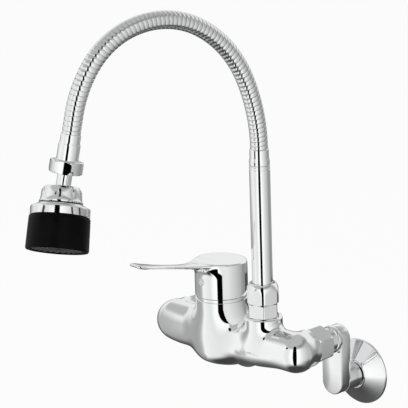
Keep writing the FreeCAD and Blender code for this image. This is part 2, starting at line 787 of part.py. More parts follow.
def spout_base():
    well = s.boss_top - s.boss_thread_depth
    hex_top = s.boss_top + s.adapter_hex
    inner_step = s.bush_bottom - 1
    trunk = fuse(
        cylinder(s.boss_thread_radius, s.boss_thread_depth, (0, 0, well)),
        hexagon(s.adapter_flats, s.adapter_hex, (0, 0, s.boss_top), Rotation(Vector(0, 0, 1), 15)),
        cylinder(s.adapter_thread_radius, s.adapter_top - hex_top, (0, 0, hex_top)),
    )
    adapter = cut(
        trunk,
        cylinder(s.adapter_waterway, inner_step - well, (0, 0, well)),
        cylinder(s.adapter_bore, s.adapter_top - inner_step, (0, 0, inner_step)),
    )
    keep("outlet_adapter", on_spout(adapter))

    corner = s.spout_nut_flats * (0.5 / math.cos(math.radians(30)))
    chamfer = corner - s.spout_nut_flats / 2
    mouth = s.tube_radius + 0.3
    inside = s.adapter_thread_radius + s.thread_gap
    envelope = turned("spout_nut_turned", [
        (inside, s.spout_nut_start),
        (corner - chamfer, s.spout_nut_start),
        (corner, s.spout_nut_start + chamfer * 0.7),
        (corner, s.spout_nut_top - s.spout_nut_lip * 1.6),
        (corner * 0.86, s.spout_nut_top - s.spout_nut_lip * 0.5),
        (mouth + 1.6, s.spout_nut_top),
        (mouth, s.spout_nut_top),
        (mouth, s.spout_nut_top - s.spout_nut_lip),
        (inside, s.spout_nut_top - s.spout_nut_lip),
    ])
    prism = hexagon(s.spout_nut_flats, s.spout_nut_top - s.spout_nut_start, (0, 0, s.spout_nut_start),
                    Rotation(Vector(0, 0, 1), 15))
    keep("spout_nut", on_spout(common(envelope, prism)))

    lip = s.spout_nut_top - s.spout_nut_lip
    slip = cut(
        cylinder(s.adapter_thread_radius - s.thread_gap, s.slip_ring_thick, (0, 0, lip - s.slip_ring_thick)),
        cylinder(s.tube_radius + 0.3, s.slip_ring_thick, (0, 0, lip - s.slip_ring_thick)),
    )
    keep("spout_slip_ring", on_spout(slip))

    flange_foot = s.adapter_top + 0.15
    flange_top = flange_foot + s.bush_flange
    plug_radius = s.adapter_bore - s.running_gap
    socket = s.tube_radius - s.tube_wall
    groove = plug_radius - s.o_ring_section
    bush = turned("bush_turned", [
        (s.adapter_waterway, s.bush_bottom),
        (plug_radius, s.bush_bottom),
        (plug_radius, s.bush_bottom + 3),
        (groove, s.bush_bottom + 3),
        (groove, s.bush_bottom + 5.4),
        (plug_radius, s.bush_bottom + 5.4),
        (plug_radius, s.bush_bottom + 8),
        (groove, s.bush_bottom + 8),
        (groove, s.bush_bottom + 10.4),
        (plug_radius, s.bush_bottom + 10.4),
        (plug_radius, flange_foot),
        (s.bush_flange_radius, flange_foot),
        (s.bush_flange_radius, flange_top),
        (socket, flange_top),
        (socket, flange_top + 9),
        (s.adapter_waterway, flange_top + 9),
    ])
    keep("spout_end_bush", on_spout(bush))

    seals = [
        cut(
            cylinder(plug_radius + s.running_gap / 2, 2, (0, 0, s.bush_bottom + level)),
            cylinder(groove, 2, (0, 0, s.bush_bottom + level)),
        )
        for level in (3.2, 8.2)
    ]
    keep("spout_seal_rings", on_spout(group(*seals)))

    tube = turned("tube_turned", [
        (socket, flange_top),
        (s.tube_radius, flange_top),
        (s.tube_radius, s.tube_top - 2.2),
        (s.tube_radius - 0.35, s.tube_top - 2.2),
        (s.tube_radius - 0.35, s.tube_top - 1.6),
        (s.tube_radius, s.tube_top - 1.6),
        (s.tube_radius, s.tube_top),
        (socket, s.tube_top),
    ])
    keep("riser_tube", on_spout(tube))

    hose_start = s.tube_top + s.ferrule_length - s.hose_entry
    hold = s.hose_radius + 0.05
    ferrule = turned("riser_ferrule_turned", [
        (socket - 0.05, s.tube_top - 8),
        (socket - 0.05, s.tube_top),
        (s.ferrule_foot_radius - 0.3, s.tube_top),
        (s.ferrule_foot_radius, s.tube_top + 0.8),
        (s.ferrule_foot_radius, s.tube_top + 4),
        (s.ferrule_radius, s.tube_top + 6.5),
        (s.ferrule_radius, s.tube_top + s.ferrule_length),
        (hold, s.tube_top + s.ferrule_length),
        (hold, hose_start),
        (s.liner_radius + 0.1, hose_start),
        (s.liner_radius + 0.1, s.tube_top - 8),
    ])
    keep("riser_ferrule", on_spout(ferrule))


spout_base()


# Gooseneck route: tangent arcs in the upright plane through the riser's axis
YAW = math.radians(float(s.spout_yaw))
FORWARD = Vector(-math.sin(YAW), -math.cos(YAW), 0)
UP = Vector(0, 0, 1)
FOOT = Vector(float(s.spout_shift), -float(s.arm_out), 0)
ARCS = (
    (s.arc1_radius, s.arc1_turn),
    (s.arc2_radius, s.arc2_turn),
    (s.arc3_radius, s.arc3_turn),
    (s.arc4_radius, s.arc4_turn),
    (s.arc5_radius, s.arc5_turn),
)


def heading(turned_by):
    angle = math.radians(turned_by)
    return FORWARD * math.sin(angle) + UP * math.cos(angle)


def travel(start, turned_by, radius, turn):
    """The end of an arc that begins at a point with a heading."""
    inward = heading(turned_by + 90)
    centre = start + inward * radius
    return centre - heading(turned_by + turn + 90) * radius


def route():
    """Edges of the hose's line, one list for each stretch."""
    top = float(s.tube_top + s.ferrule_length)
    below = FOOT + UP * float(s.tube_top + s.ferrule_length - s.hose_entry)
    point = FOOT + UP * top
    stretches = [[Part.LineSegment(below, point).toShape()], [], []]
    turned_by = 0.0
    marks = []
    for number, (radius, turn) in enumerate(ARCS):
        stretch = stretches[0 if number < 2 else 1 if number == 2 else 2]
        middle = travel(point, turned_by, float(radius), float(turn) / 2)
        end = travel(point, turned_by, float(radius), float(turn))
        stretch.append(Part.Arc(point, middle, end).toShape())
        marks.append(middle)
        point = end
        turned_by += float(turn)
    last = point + heading(turned_by) * float(s.end_run)
    stretches[2].append(Part.LineSegment(point, last).toShape())
    return stretches, marks[2], last, turned_by


def pipe(edges, outer, inner):
    wire = Part.Wire(edges)
    start = wire.Edges[0].Vertexes[0].Point
    along = wire.Edges[0].tangentAt(wire.Edges[0].FirstParameter)
    solids = []
    for radius in (outer, inner):
        loop = Part.Wire(Part.makeCircle(radius, start, along))
        solids.append(wire.makePipeShell([loop], True, True))
    return solids[0].cut(solids[1])


stretches, bend_point, hose_end, total_turn = route()
outer = float(s.hose_radius)
inner = float(s.hose_radius - s.hose_wall)
for name, edges in zip(("hose_riser_side", "hose_bend_span", "hose_head_side"), stretches):
    hose = keep(name, doc.addObject("Part::Feature", name))
    hose.Shape = pipe(edges, outer, inner)
liner = keep("hose_liner", doc.addObject("Part::Feature", "hose_liner"))
liner_outer = float(s.liner_radius)
liner.Shape = pipe(sum(stretches, []), liner_outer, liner_outer - float(s.liner_wall))


# Fittings at the hose end, drawn upwards from the ball's centre
ENTRY = float(s.hose_entry)
DROP = float(s.end_ferrule_length + s.neck_nut_height + s.neck_length + s.head_top) - ENTRY
NECK_DOWN = heading(total_turn)
BALL_CENTRE = hose_end + NECK_DOWN * DROP
SIDE = UP.cross(FORWARD)


def frame(down):
    """A rotation whose -Z runs along a direction and whose Y stays across the spout's plane."""
    z_axis = down * -1
    y_axis = SIDE - z_axis * SIDE.dot(z_axis)
    y_axis.normalize()
    return Rotation(y_axis.cross(z_axis), y_axis, z_axis, "ZXY")


def at_ball(thing, turn):
    thing.Placement = Placement(BALL_CENTRE, turn)
    return thing


neck_frame = frame(NECK_DOWN)


def neck():
    nut_foot = s.head_top + s.neck_length
    nut_top = nut_foot + s.neck_nut_height
    ferrule_top = nut_top + s.end_ferrule_length
    hold = s.hose_radius + 0.05
    throat = s.liner_radius + 0.1
    collar = turned("end_ferrule_turned", [
        (throat, nut_top - 3),
        (s.end_ferrule_foot_radius - 0.6, nut_top - 3),
        (s.end_ferrule_foot_radius - 0.6, nut_top + 0.1),
        (s.end_ferrule_foot_radius, nut_top + 0.5),
        (s.end_ferrule_foot_radius, ferrule_top - s.end_ferrule_taper),
        (s.end_ferrule_radius, ferrule_top - s.end_ferrule_taper * 0.7),
        (s.end_ferrule_radius, ferrule_top),
        (hold, ferrule_top),
        (hold, ferrule_top - s.hose_entry),
        (throat, ferrule_top - s.hose_entry),
    ])
    keep("end_ferrule", at_ball(collar, neck_frame))

    corner = s.neck_nut_flats * (0.5 / math.cos(math.radians(30)))
    socket = s.end_ferrule_foot_radius - 0.6 + s.thread_gap
    hole = s.neck_radius + s.thread_gap
    envelope = turned("neck_nut_turned", [
        (hole, nut_foot),
        (corner * 0.62, nut_foot),
        (corner * 0.93, nut_foot + s.neck_nut_height * 0.2),
        (corner, nut_foot + s.neck_nut_height * 0.42),
        (corner, nut_foot + s.neck_nut_height * 0.72),
        (corner * 0.93, nut_top - s.neck_nut_height * 0.06),
        (corner * 0.85, nut_top),
        (socket, nut_top),
        (socket, nut_foot + 3.4),
        (hole, nut_foot + 3.4),
    ])
    prism = hexagon(s.neck_nut_flats, s.neck_nut_height, (0, 0, nut_foot), Rotation(Vector(0, 0, 1), 20))
    keep("neck_nut", at_ball(common(envelope, prism), neck_frame))

    seal_top = nut_top - 3
    flange_top = nut_foot + 3.4 + 2.2
    washer = cut(
        cylinder(socket - 0.15, seal_top - flange_top, (0, 0, flange_top)),
        cylinder(s.neck_bore, seal_top - flange_top, (0, 0, flange_top)),
    )
    keep("neck_washer", at_ball(washer, neck_frame))

    height = flange_top
    stem = cut(
        fuse(
            ball(s.ball_radius),
            cylinder(s.neck_radius, height),
            cylinder(socket - 0.15, 2.2, (0, 0, flange_top - 2.2)),
        ),
        cylinder(s.neck_bore, s.ball_radius + height + 1, (0, 0, -s.ball_radius - 1)),
        cone(s.neck_bore * 2.1, s.neck_bore, s.ball_radius * 0.6, (0, 0, -s.ball_radius)),
    )
    keep("ball_stem", at_ball(stem, neck_frame))


neck()

# The head hangs from the ball, swung a little further out and tipped to the right of the spout's plane
swing_down = heading(total_turn - float(s.head_swing_out))
tilt = math.radians(float(s.head_tilt_out))
head_down = swing_down * math.cos(tilt) + SIDE * math.sin(tilt)
swing_frame = frame(swing_down)
head_frame = frame(head_down)


def spherical_band(inside, outside, low, high):
    """A ring between two balls and two levels, centred on the ball joint."""
    blank = cylinder(outside, high - low, (0, 0, low))
    return cut(common(blank, ball(outside)), ball(inside))


def spray_head():
    free = s.ball_radius + s.ball_gap
    band_outer = free + s.slip_band_thick
    cup_inner = band_outer + s.ball_gap
    seat_outer = free + s.seat_thick
    seat_room = seat_outer + s.ball_gap
    slip = spherical_band(free, band_outer, s.ball_radius * -0.1, s.ball_radius * 0.16)
    keep("ball_slip_ring", at_ball(slip, swing_frame))
    seat = spherical_band(free, seat_outer, s.ball_radius * -0.8, s.ball_radius * -0.5)
    keep("ball_seat", at_ball(seat, head_frame))

    edge = s.ball_radius * 0.53
    foot = -s.head_cap_foot
    plug_radius = s.head_cap_radius - s.head_cap_wall
    outer_shape = turned("head_cap_turned", [
        (0, -s.head_flare),
        (plug_radius, -s.head_flare),
        (plug_radius, foot - 1.6),
        (s.head_cap_radius + 1, foot - 1.6),
        (s.head_cap_radius, foot),
        (s.head_cap_radius - 0.4, s.head_top * 0.5),
        (s.head_cap_radius - 1.0, s.head_top * 0.78),
        (s.head_cap_top_radius, s.head_top),
        (0, s.head_top),
    ])
    throat = root(cup_inner * cup_inner - edge * edge)
    mouth = cone(throat, s.cap_mouth_radius, s.head_top - edge, (0, 0, edge))
    below = cylinder(seat_room, seat_room, (0, 0, -seat_room - s.ball_radius * 0.1))
    seat_space = common(ball(seat_room), below)
    retainer_radius = plug_radius - s.head_cap_wall
    retainer_top = s.ball_radius * -0.7
    well = cylinder(retainer_radius + s.thread_gap, s.head_flare + retainer_top, (0, 0, -s.head_flare))
    keep("head_cap", at_ball(cut(outer_shape, ball(cup_inner), mouth, seat_space, well), head_frame))

    waterway = s.neck_bore * 1.6
    retainer = cut(
        cylinder(retainer_radius, s.head_flare + retainer_top, (0, 0, -s.head_flare)),
        ball(seat_room),
        cylinder(waterway, s.head_flare * 2, (0, 0, -s.head_flare * 2)),
    )
    keep("seat_retainer", at_ball(retainer, head_frame))

    thread = plug_radius + s.thread_gap
    inner_wall = s.shell_radius - s.shell_wall
    floor_top = -s.head_flare - 0.2
    floor_foot = floor_top - s.shell_floor
    shell = turned("spray_shell_turned", [
        (waterway, floor_top),
        (thread, floor_top),
        (thread, foot - 2),
        (s.head_cap_radius + 1, foot - 2),
        (s.head_cap_radius + 2.6, foot - 3.4),
        (s.shell_radius - 1.4, -s.shell_top + 0.4),
        (s.shell_radius, -s.shell_top - 0.8),
        (s.shell_radius, -s.shell_foot),
        (inner_wall, -s.shell_foot),
        (inner_wall, floor_foot),
        (waterway, floor_foot),
    ])
    keep("spray_shell", at_ball(shell, head_frame))

    core_radius = inner_wall - s.ball_gap
    core_top = floor_foot - s.sleeve_gap
    core_foot = -s.head_bottom + s.face_recess + s.face_thick
    height = core_top - core_foot
    chamber = cut(
        cylinder(core_radius - s.core_wall, height - s.core_wall, (0, 0, core_foot)),
        cylinder(s.aerator_radius + s.core_wall, height - s.core_wall, (0, 0, core_foot)),
    )
    feed = core_radius - s.core_wall * 2
    core = cut(
        cylinder(core_radius, height, (0, 0, core_foot)),
        chamber,
        cylinder(waterway, height, (0, 0, core_foot)),
        cylinder(s.aerator_radius, s.aerator_depth, (0, 0, core_foot)),
        *[cylinder(s.feed_radius, height, (feed * cosine(60 * number), feed * sine(60 * number), core_foot))
          for number in range(6)],
    )
    keep("spray_core", at_ball(core, head_frame))

    inside = core_radius + s.running_gap
    sleeve_top = -s.shell_foot - s.sleeve_gap
    sleeve = turned("sleeve_turned", [
        (inside, sleeve_top),
        (s.sleeve_top_radius - 0.5, sleeve_top),
        (s.sleeve_top_radius, sleeve_top - 0.6),
        (s.sleeve_bottom_radius, -s.head_bottom + 1),
        (s.sleeve_bottom_radius - 0.8, -s.head_bottom),
        (s.sleeve_bottom_radius - s.sleeve_wall, -s.head_bottom),
        (s.sleeve_bottom_radius - s.sleeve_wall, core_foot - s.face_thick),
        (inside + 0.3, core_foot - s.face_thick),
        (inside + 0.3, core_foot),
        (inside, core_foot),
    ])
    keep("rubber_sleeve", at_ball(sleeve, head_frame))

    face_radius = inside + 0.2
    holes = []
    for count, radius in ((24, 20.2), (20, 16.6), (14, 13.0)):
        for number in range(count):
            angle = 360.0 / count * number
            spot = (face_radius * (radius / 22) * cosine(angle), face_radius * (radius / 22) * sine(angle))
            holes.append(cylinder(s.nozzle_radius, s.face_thick, (*spot, core_foot - s.face_thick)))
    plate = cut(
        cylinder(face_radius, s.face_thick, (0, 0, core_foot - s.face_thick)),
        cylinder(s.aerator_radius + 0.1, s.face_thick, (0, 0, core_foot - s.face_thick)),
        *holes,
    )
    keep("spray_face", at_ball(plate, head_frame))

    mesh_foot = core_foot - s.face_thick
    jets = s.aerator_radius * 0.6
    aerator = cut(
        cylinder(s.aerator_radius, s.face_thick + s.aerator_depth, (0, 0, mesh_foot)),
        cylinder(s.aerator_radius - 1.5, s.aerator_depth - 1.5, (0, 0, mesh_foot + s.face_thick + 1.5)),
        *[cylinder(s.nozzle_radius, s.face_thick + s.aerator_depth,
                   (jets * cosine(60 * number), jets * sine(60 * number), mesh_foot))
          for number in range(6)],
    )
    keep("aerator", at_ball(aerator, head_frame))


spray_head()

doc.recompute()
for item in doc.Objects:
    if "Invalid" in item.State or "Error" in item.State:
        raise RuntimeError(f"{item.Name} {item.Label} failed: {item.State}")
os.makedirs("parts", exist_ok=True)
for name, node in nodes.items():
    shape = node.Shape
    if shape.isNull() or not shape.isValid() or not shape.Solids:
        raise RuntimeError(f"{name} has no sound solid")
    print(f"{name:24s} solids {len(shape.Solids):2d} volume {shape.Volume:10.1f}")
    shape.exportStep(f"parts/{name}.step")
print("nodes", len(nodes))
print("bend point", bend_point, "ball", BALL_CENTRE, "neck down", NECK_DOWN)
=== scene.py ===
import json
import math

import bmesh
import bpy
import numpy as np
from mathutils import Matrix, Vector


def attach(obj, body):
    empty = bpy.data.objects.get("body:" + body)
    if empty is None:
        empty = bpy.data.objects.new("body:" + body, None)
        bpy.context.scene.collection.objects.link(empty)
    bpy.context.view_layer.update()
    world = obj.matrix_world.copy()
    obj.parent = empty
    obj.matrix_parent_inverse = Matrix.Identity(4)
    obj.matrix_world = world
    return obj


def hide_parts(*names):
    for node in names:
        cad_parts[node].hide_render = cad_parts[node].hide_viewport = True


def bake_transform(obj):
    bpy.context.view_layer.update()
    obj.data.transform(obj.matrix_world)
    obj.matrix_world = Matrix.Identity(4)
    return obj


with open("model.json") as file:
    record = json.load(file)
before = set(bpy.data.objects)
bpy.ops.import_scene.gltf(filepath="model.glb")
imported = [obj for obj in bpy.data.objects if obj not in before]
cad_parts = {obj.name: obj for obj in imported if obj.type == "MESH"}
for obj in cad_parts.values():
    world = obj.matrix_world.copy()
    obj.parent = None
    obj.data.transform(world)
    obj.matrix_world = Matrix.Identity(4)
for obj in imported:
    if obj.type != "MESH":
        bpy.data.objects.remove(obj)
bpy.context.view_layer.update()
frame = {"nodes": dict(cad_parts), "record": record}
print("frame loaded,", len(frame["nodes"]), "nodes")

mm = 0.001


# Looks: a wrapped socket makes its Math nodes from plain expressions
class Signal:
    def __init__(self, look, socket):
        self.look = look
        self.socket = socket

    def sum(self, operation, first, second):
        return self.look.node("ShaderNodeMath", {"operation": operation}, {0: first, 1: second})

    def __add__(self, other):
        return self.sum("ADD", self, other)

    def __radd__(self, other):
        return self.sum("ADD", other, self)

    def __sub__(self, other):
        return self.sum("SUBTRACT", self, other)

    def __rsub__(self, other):
        return self.sum("SUBTRACT", other, self)

    def __mul__(self, other):
        return self.sum("MULTIPLY", self, other)

    def __rmul__(self, other):
        return self.sum("MULTIPLY", other, self)

    def __truediv__(self, other):
        return self.sum("DIVIDE", self, other)

    def sister(self, output):
        return Signal(self.look, self.socket.node.outputs[output])


class Look:
    def __init__(self, owner):
        owner.use_nodes = True
        self.tree = owner.node_tree
        self.tree.nodes.clear()

    def node(self, kind, settings, sockets, output=0):
        made = self.tree.nodes.new(kind)
        for key, value in settings.items():
            if key == "stops":
                ramp = made.color_ramp
                while len(ramp.elements) < len(value):
                    ramp.elements.new(0.5)
                for element, (spot, level) in zip(ramp.elements, value):
                    element.position = spot
                    element.color = (level, level, level, 1)
            else:
                setattr(made, key, value)
        for key, value in sockets.items():
            if isinstance(value, Signal):
                self.tree.links.new(value.socket, made.inputs[key])
            else:
                made.inputs[key].default_value = value
        return Signal(self, made.outputs[output])

    def objectSpot(self):
        return self.node("ShaderNodeTexCoord", {}, {}, "Object")

    def noise(self, spot, scale, detail=3.0, stretch=(1, 1, 1)):
        spread = self.node("ShaderNodeMapping", {}, {"Vector": spot, "Scale": stretch})
        sockets = {"Vector": spread, "Scale": scale, "Detail": detail}
        return self.node("ShaderNodeTexNoise", {}, sockets, "Fac")

    def ramp(self, value, stops):
        return self.node("ShaderNodeValToRGB", {"stops": stops}, {"Fac": value})

    def between(self, mask, first, second):
        return self.node("ShaderNodeMix", {"data_type": "RGBA"}, {0: mask, 6: first, 7: second}, 2)

    def bump(self, height, strength, depth):
        return self.node("ShaderNodeBump", {}, {"Height": height, "Strength": strength, "Distance": depth})

    def spread(self, value, start, end, first, second, course="LINEAR"):
        return self.node("ShaderNodeMapRange", {"interpolation_type": course}, {
            "Value": value, "From Min": start, "From Max": end, "To Min": first, "To Max": second})

    def surface(self, sockets):
        return self.node("ShaderNodeBsdfPrincipled", {}, sockets)

    def glow(self, strength):
        return self.node("ShaderNodeEmission", {}, {"Color": (1, 1, 1, 1), "Strength": strength})

    def end(self, shader, kind="ShaderNodeOutputMaterial"):
        made = self.tree.nodes.new(kind)
        self.tree.links.new(shader.socket, made.inputs["Surface"])


finishes = {
    "plated_brass": {"kind": "chrome", "tint": (0.9, 0.905, 0.91), "blur": 0.035, "wave": 0.0},
    "plated_steel": {"kind": "chrome", "tint": (0.89, 0.895, 0.9), "blur": 0.045, "wave": 0.0},
    "plated_zinc": {"kind": "chrome", "tint": (0.9, 0.905, 0.91), "blur": 0.04, "wave": 0.0},
    "plated_plastic": {"kind": "chrome", "tint": (0.88, 0.885, 0.89), "blur": 0.045, "wave": 0.01},
    "hose_steel": {"kind": "chrome", "tint": (0.84, 0.845, 0.85), "blur": 0.1, "wave": 0.02},
    "bare_brass": {"kind": "machined", "tint": (0.72, 0.55, 0.27), "worn": (0.5, 0.36, 0.17), "blur": 0.28},
    "bare_steel": {"kind": "machined", "tint": (0.56, 0.56, 0.57), "worn": (0.36, 0.36, 0.37), "blur": 0.32},
    "seal_rubber": {"kind": "rubber", "tint": (0.03, 0.03, 0.031), "worn": (0.06, 0.06, 0.06),
                    "blur": 0.55, "sheen": 0.4, "grain": 900},
    "liner_rubber": {"kind": "rubber", "tint": (0.07, 0.07, 0.07), "worn": (0.11, 0.11, 0.11),
                     "blur": 0.5, "sheen": 0.4, "grain": 700},
    "black_rubber": {"kind": "rubber", "tint": (0.002, 0.002, 0.0022), "worn": (0.004, 0.004, 0.0042),
                     "blur": 0.28, "sheen": 0.06, "grain": 1500},
    "cartridge_plastic": {"kind": "plastic", "tint": (0.78, 0.78, 0.74), "worn": (0.68, 0.68, 0.64),
                          "blur": 0.42},
    "slip_plastic": {"kind": "plastic", "tint": (0.86, 0.86, 0.83), "worn": (0.76, 0.76, 0.72), "blur": 0.35},
    "ceramic": {"kind": "plastic", "tint": (0.9, 0.89, 0.86), "worn": (0.82, 0.81, 0.78), "blur": 0.12},
    "plug_plastic": {"kind": "plastic", "tint": (0.8, 0.81, 0.83), "worn": (0.66, 0.67, 0.69), "blur": 0.12},
    "face_plastic": {"kind": "plastic", "tint": (0.075, 0.075, 0.08), "worn": (0.12, 0.12, 0.125),
                     "blur": 0.36},
}


def chromeLook(look, facts):
    spot = look.objectSpot()
    film = look.ramp(look.noise(spot, 22, 4), [(0.42, 0), (0.72, 1)])  # dried water film
    wipe = look.ramp(look.noise(spot, 160, 2, (1, 1, 0.12)), [(0.5, 0), (0.8, 1)])  # polishing streaks
    dust = look.ramp(look.noise(spot, 2600, 1), [(0.7, 0), (0.76, 1)])
    tint = facts["tint"]
    colour = look.between(film * 0.35 + dust * 0.2, (*tint, 1), (*[part * 0.93 for part in tint], 1))
    rough = facts["blur"] + film * 0.022 + wipe * 0.012 + dust * 0.06
    sockets = {"Base Color": colour, "Metallic": 1.0, "Roughness": rough}
    if facts["wave"]:
        sockets["Normal"] = look.bump(look.noise(spot, 120, 1), facts["wave"], 0.0006)
    return look.surface(sockets)


def machinedLook(look, facts):
    spot = look.objectSpot()
    turning = look.noise(spot, 900, 2, (0.15, 0.15, 3.0))  # tool marks
    stain = look.ramp(look.noise(spot, 60, 4), [(0.45, 0), (0.75, 1)])
    colour = look.between(stain * 0.7, (*facts["tint"], 1), (*facts["worn"], 1))
    rough = facts["blur"] + turning * 0.12 + stain * 0.1
    return look.surface({"Base Color": colour, "Metallic": 1.0, "Roughness": rough,
                         "Normal": look.bump(turning, 0.25, 0.0002)})


def rubberLook(look, facts):
    spot = look.objectSpot()
    grain = look.noise(spot, facts["grain"], 2)
    rub = look.ramp(look.noise(spot, 38, 4), [(0.5, 0), (0.78, 1)])  # handled, slightly paler
    colour = look.between(rub, (*facts["tint"], 1), (*facts["worn"], 1))
    rough = facts["blur"] + grain * 0.08 + rub * 0.1
    return look.surface({"Base Color": colour, "Roughness": rough, "Specular IOR Level": facts["sheen"],
                         "Normal": look.bump(grain, 0.12, 0.0002)})


def plasticLook(look, facts):
    spot = look.objectSpot()
    flow = look.ramp(look.noise(spot, 45, 3), [(0.4, 0), (0.8, 1)])
    pores = look.noise(spot, 1400, 1)
    colour = look.between(flow * 0.6, (*facts["tint"], 1), (*facts["worn"], 1))
    rough = facts["blur"] + pores * 0.06 + flow * 0.05
    return look.surface({"Base Color": colour, "Roughness": rough, "Normal": look.bump(pores, 0.08, 0.0002)})


makers = {"chrome": chromeLook, "machined": machinedLook, "rubber": rubberLook, "plastic": plasticLook}
materials = {}
for slotName, facts in finishes.items():
    materials[slotName] = bpy.data.materials.new(slotName)
    look = Look(materials[slotName])
    look.end(makers[facts["kind"]](look, facts))

slotOf = {node["node"]: node["material_slot"] for node in frame["record"]["subparts"]}
for name, thing in frame["nodes"].items():
    thing.data.materials.clear()
    thing.data.materials.append(materials[slotOf[name]])
print("finishes ready,", len(materials))


# Shapes are drawn in millimetres and put in place when they are finished
def meshOf(shape, name):
    mesh = bpy.data.meshes.new(name)
    shape.to_mesh(mesh)
    shape.free()
    return mesh


def shown(name, data):
    thing = bpy.data.objects.new(name, data)
    bpy.context.scene.collection.objects.link(thing)
    return thing


def ready(shape, name, body, slotName, stands=(), place=None, crease=35):
    if place is not None:
        shape.transform(place)
    bmesh.ops.scale(shape, vec=(mm, mm, mm), verts=shape.verts)
    mesh = meshOf(shape, name)
    mesh.shade_smooth()
    mesh.set_sharp_from_angle(angle=math.radians(crease))
    mesh.materials.append(materials[slotName])
    piece = shown(name, mesh)
    if stands:
        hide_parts(*stands)
    if body:
        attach(piece, body)
    return piece


def turned(profile, steps=96, ring=False):
    shape = bmesh.new()
    spots = [shape.verts.new((radius, 0, height)) for radius, height in profile]
    edges = [shape.edges.new(pair) for pair in zip(spots, spots[1:])]
    if ring:
        edges.append(shape.edges.new((spots[-1], spots[0])))
    bmesh.ops.spin(shape, geom=spots + edges, cent=(0, 0, 0), axis=(0, 0, 1), dvec=(0, 0, 0),
                   angle=math.tau, steps=steps, use_merge=True)
    bmesh.ops.remove_doubles(shape, verts=shape.verts, dist=0.002)
    bmesh.ops.recalc_face_normals(shape, faces=shape.faces)
    return shape


def rod(radius, low, high, steps=48):
    return turned([(0, low), (radius, low), (radius, high), (0, high)], steps)


def band(inner, outer, low, high, steps=72):
    return turned([(inner, low), (outer, low), (outer, high), (inner, high)], steps, ring=True)


def soften(shape, width, angle=25, segments=3):
    sharp = [edge for edge in shape.edges if edge.calc_face_angle(0) > math.radians(angle)]
    bmesh.ops.bevel(shape, geom=sharp, offset=width, offset_type="OFFSET", segments=segments, profile=0.5,
                    affect="EDGES", clamp_overlap=True, material=-1)
    return shape


def join(first, *others):
    for other in others:
        mesh = meshOf(other, "part")
        first.from_mesh(mesh)
        bpy.data.meshes.remove(mesh)
    return first


def vertsOf(grown):
    return [part for part in grown["geom"] if isinstance(part, bmesh.types.BMVert)]


def flatten(shape, flats, turn, land, swell):
    corner = flats / 2 / math.cos(math.pi / 6) - land
    for vert in shape.verts:  # a turned blank is filed down to its six flats
        angle = math.atan2(vert.co.y, vert.co.x) - math.radians(turn)
        off = (angle + math.pi / 6) % (math.pi / 3) - math.pi / 6
        most = min(flats / 2 * (1 + swell * (1 / math.cos(off) - 1)), corner)
        reach = math.hypot(vert.co.x, vert.co.y)
        if reach > most:
            vert.co.x *= most / reach
            vert.co.y *= most / reach
    return shape


def hexNut(flats, low, high, bore, bottomCut, topCut, turn, mouth=None, topRadius=None, land=0.3, swell=1.0):
    corner = flats / 2 / math.cos(math.pi / 6)
    face = flats / 2 - 0.4  # the flat end of the nut, inside its chamfer
    topRadius = topRadius or face
    profile = [(bore, low), (face, low)]
    for share in (0.2, 0.4, 0.6, 0.8, 1):
        profile.append((face + (corner - face) * share, low + bottomCut * share ** 1.6))
    for share in (0.25, 0.5, 0.75):
        profile.append((corner, low + bottomCut + (high - topCut - low - bottomCut) * share))
    for share in (1, 0.85, 0.7, 0.55, 0.4, 0.2, 0):
        profile.append((topRadius + (corner - topRadius) * share, high - topCut * share ** 1.4))
    profile.append((mouth or bore, high))
    return flatten(turned(profile, 180, ring=True), flats, turn, land, swell)


def upright(x, y):
    return Matrix.Translation((x, -y, 0))


def outOfWall(x, y, z):
    return Matrix.Translation((x, y, z)) @ Matrix.Rotation(math.radians(90), 4, "X")


# Implicit blends: a rough start is remeshed and every point is drawn onto the smooth field
def smoothLow(first, second, blend):
    share = np.maximum(blend - np.abs(first - second), 0) / blend
    return np.minimum(first, second) - share * share * blend / 4


def smoothHigh(first, second, blend):
    return -smoothLow(-first, -second, blend)


def roundRod(radial, along, radius, rounding):
    outR = radial - (radius - rounding)
    outA = along + rounding
    far = np.sqrt(np.maximum(outR, 0) ** 2 + np.maximum(outA, 0) ** 2)
    return far + np.minimum(np.maximum(outR, outA), 0) - rounding


def slopeOf(field, spots, step=0.02):
    value = field(spots)
    slope = np.stack([field(spots + step * axis) - value for axis in np.eye(3)], axis=1)
    return value, slope / step


def drawnOnto(shape, field, cell, rounds=8):
    rough = shown("rough", meshOf(shape, "rough"))
    grid = rough.modifiers.new("grid", "REMESH")
    grid.mode = "VOXEL"
    grid.voxel_size = cell
    grid.use_smooth_shade = True
    final = bpy.data.meshes.new_from_object(rough.evaluated_get(bpy.context.evaluated_depsgraph_get()))
    bpy.data.objects.remove(rough)
    shape = bmesh.new()
    shape.from_mesh(final)
    for number in range(rounds):
        if number < rounds - 2:
            bmesh.ops.smooth_vert(shape, verts=shape.verts, factor=0.5,
                                  use_axis_x=True, use_axis_y=True, use_axis_z=True)
        spots = np.array([vert.co for vert in shape.verts])
        for turn in range(3):
            value, slope = slopeOf(field, spots)
            size = np.maximum((slope ** 2).sum(axis=1), 0.05)
            spots = spots - np.clip(value / size, -0.8, 0.8)[:, None] * slope
        for vert, spot in zip(shape.verts, spots):
            vert.co = spot
    bmesh.ops.recalc_face_normals(shape, faces=shape.faces)
    return shape


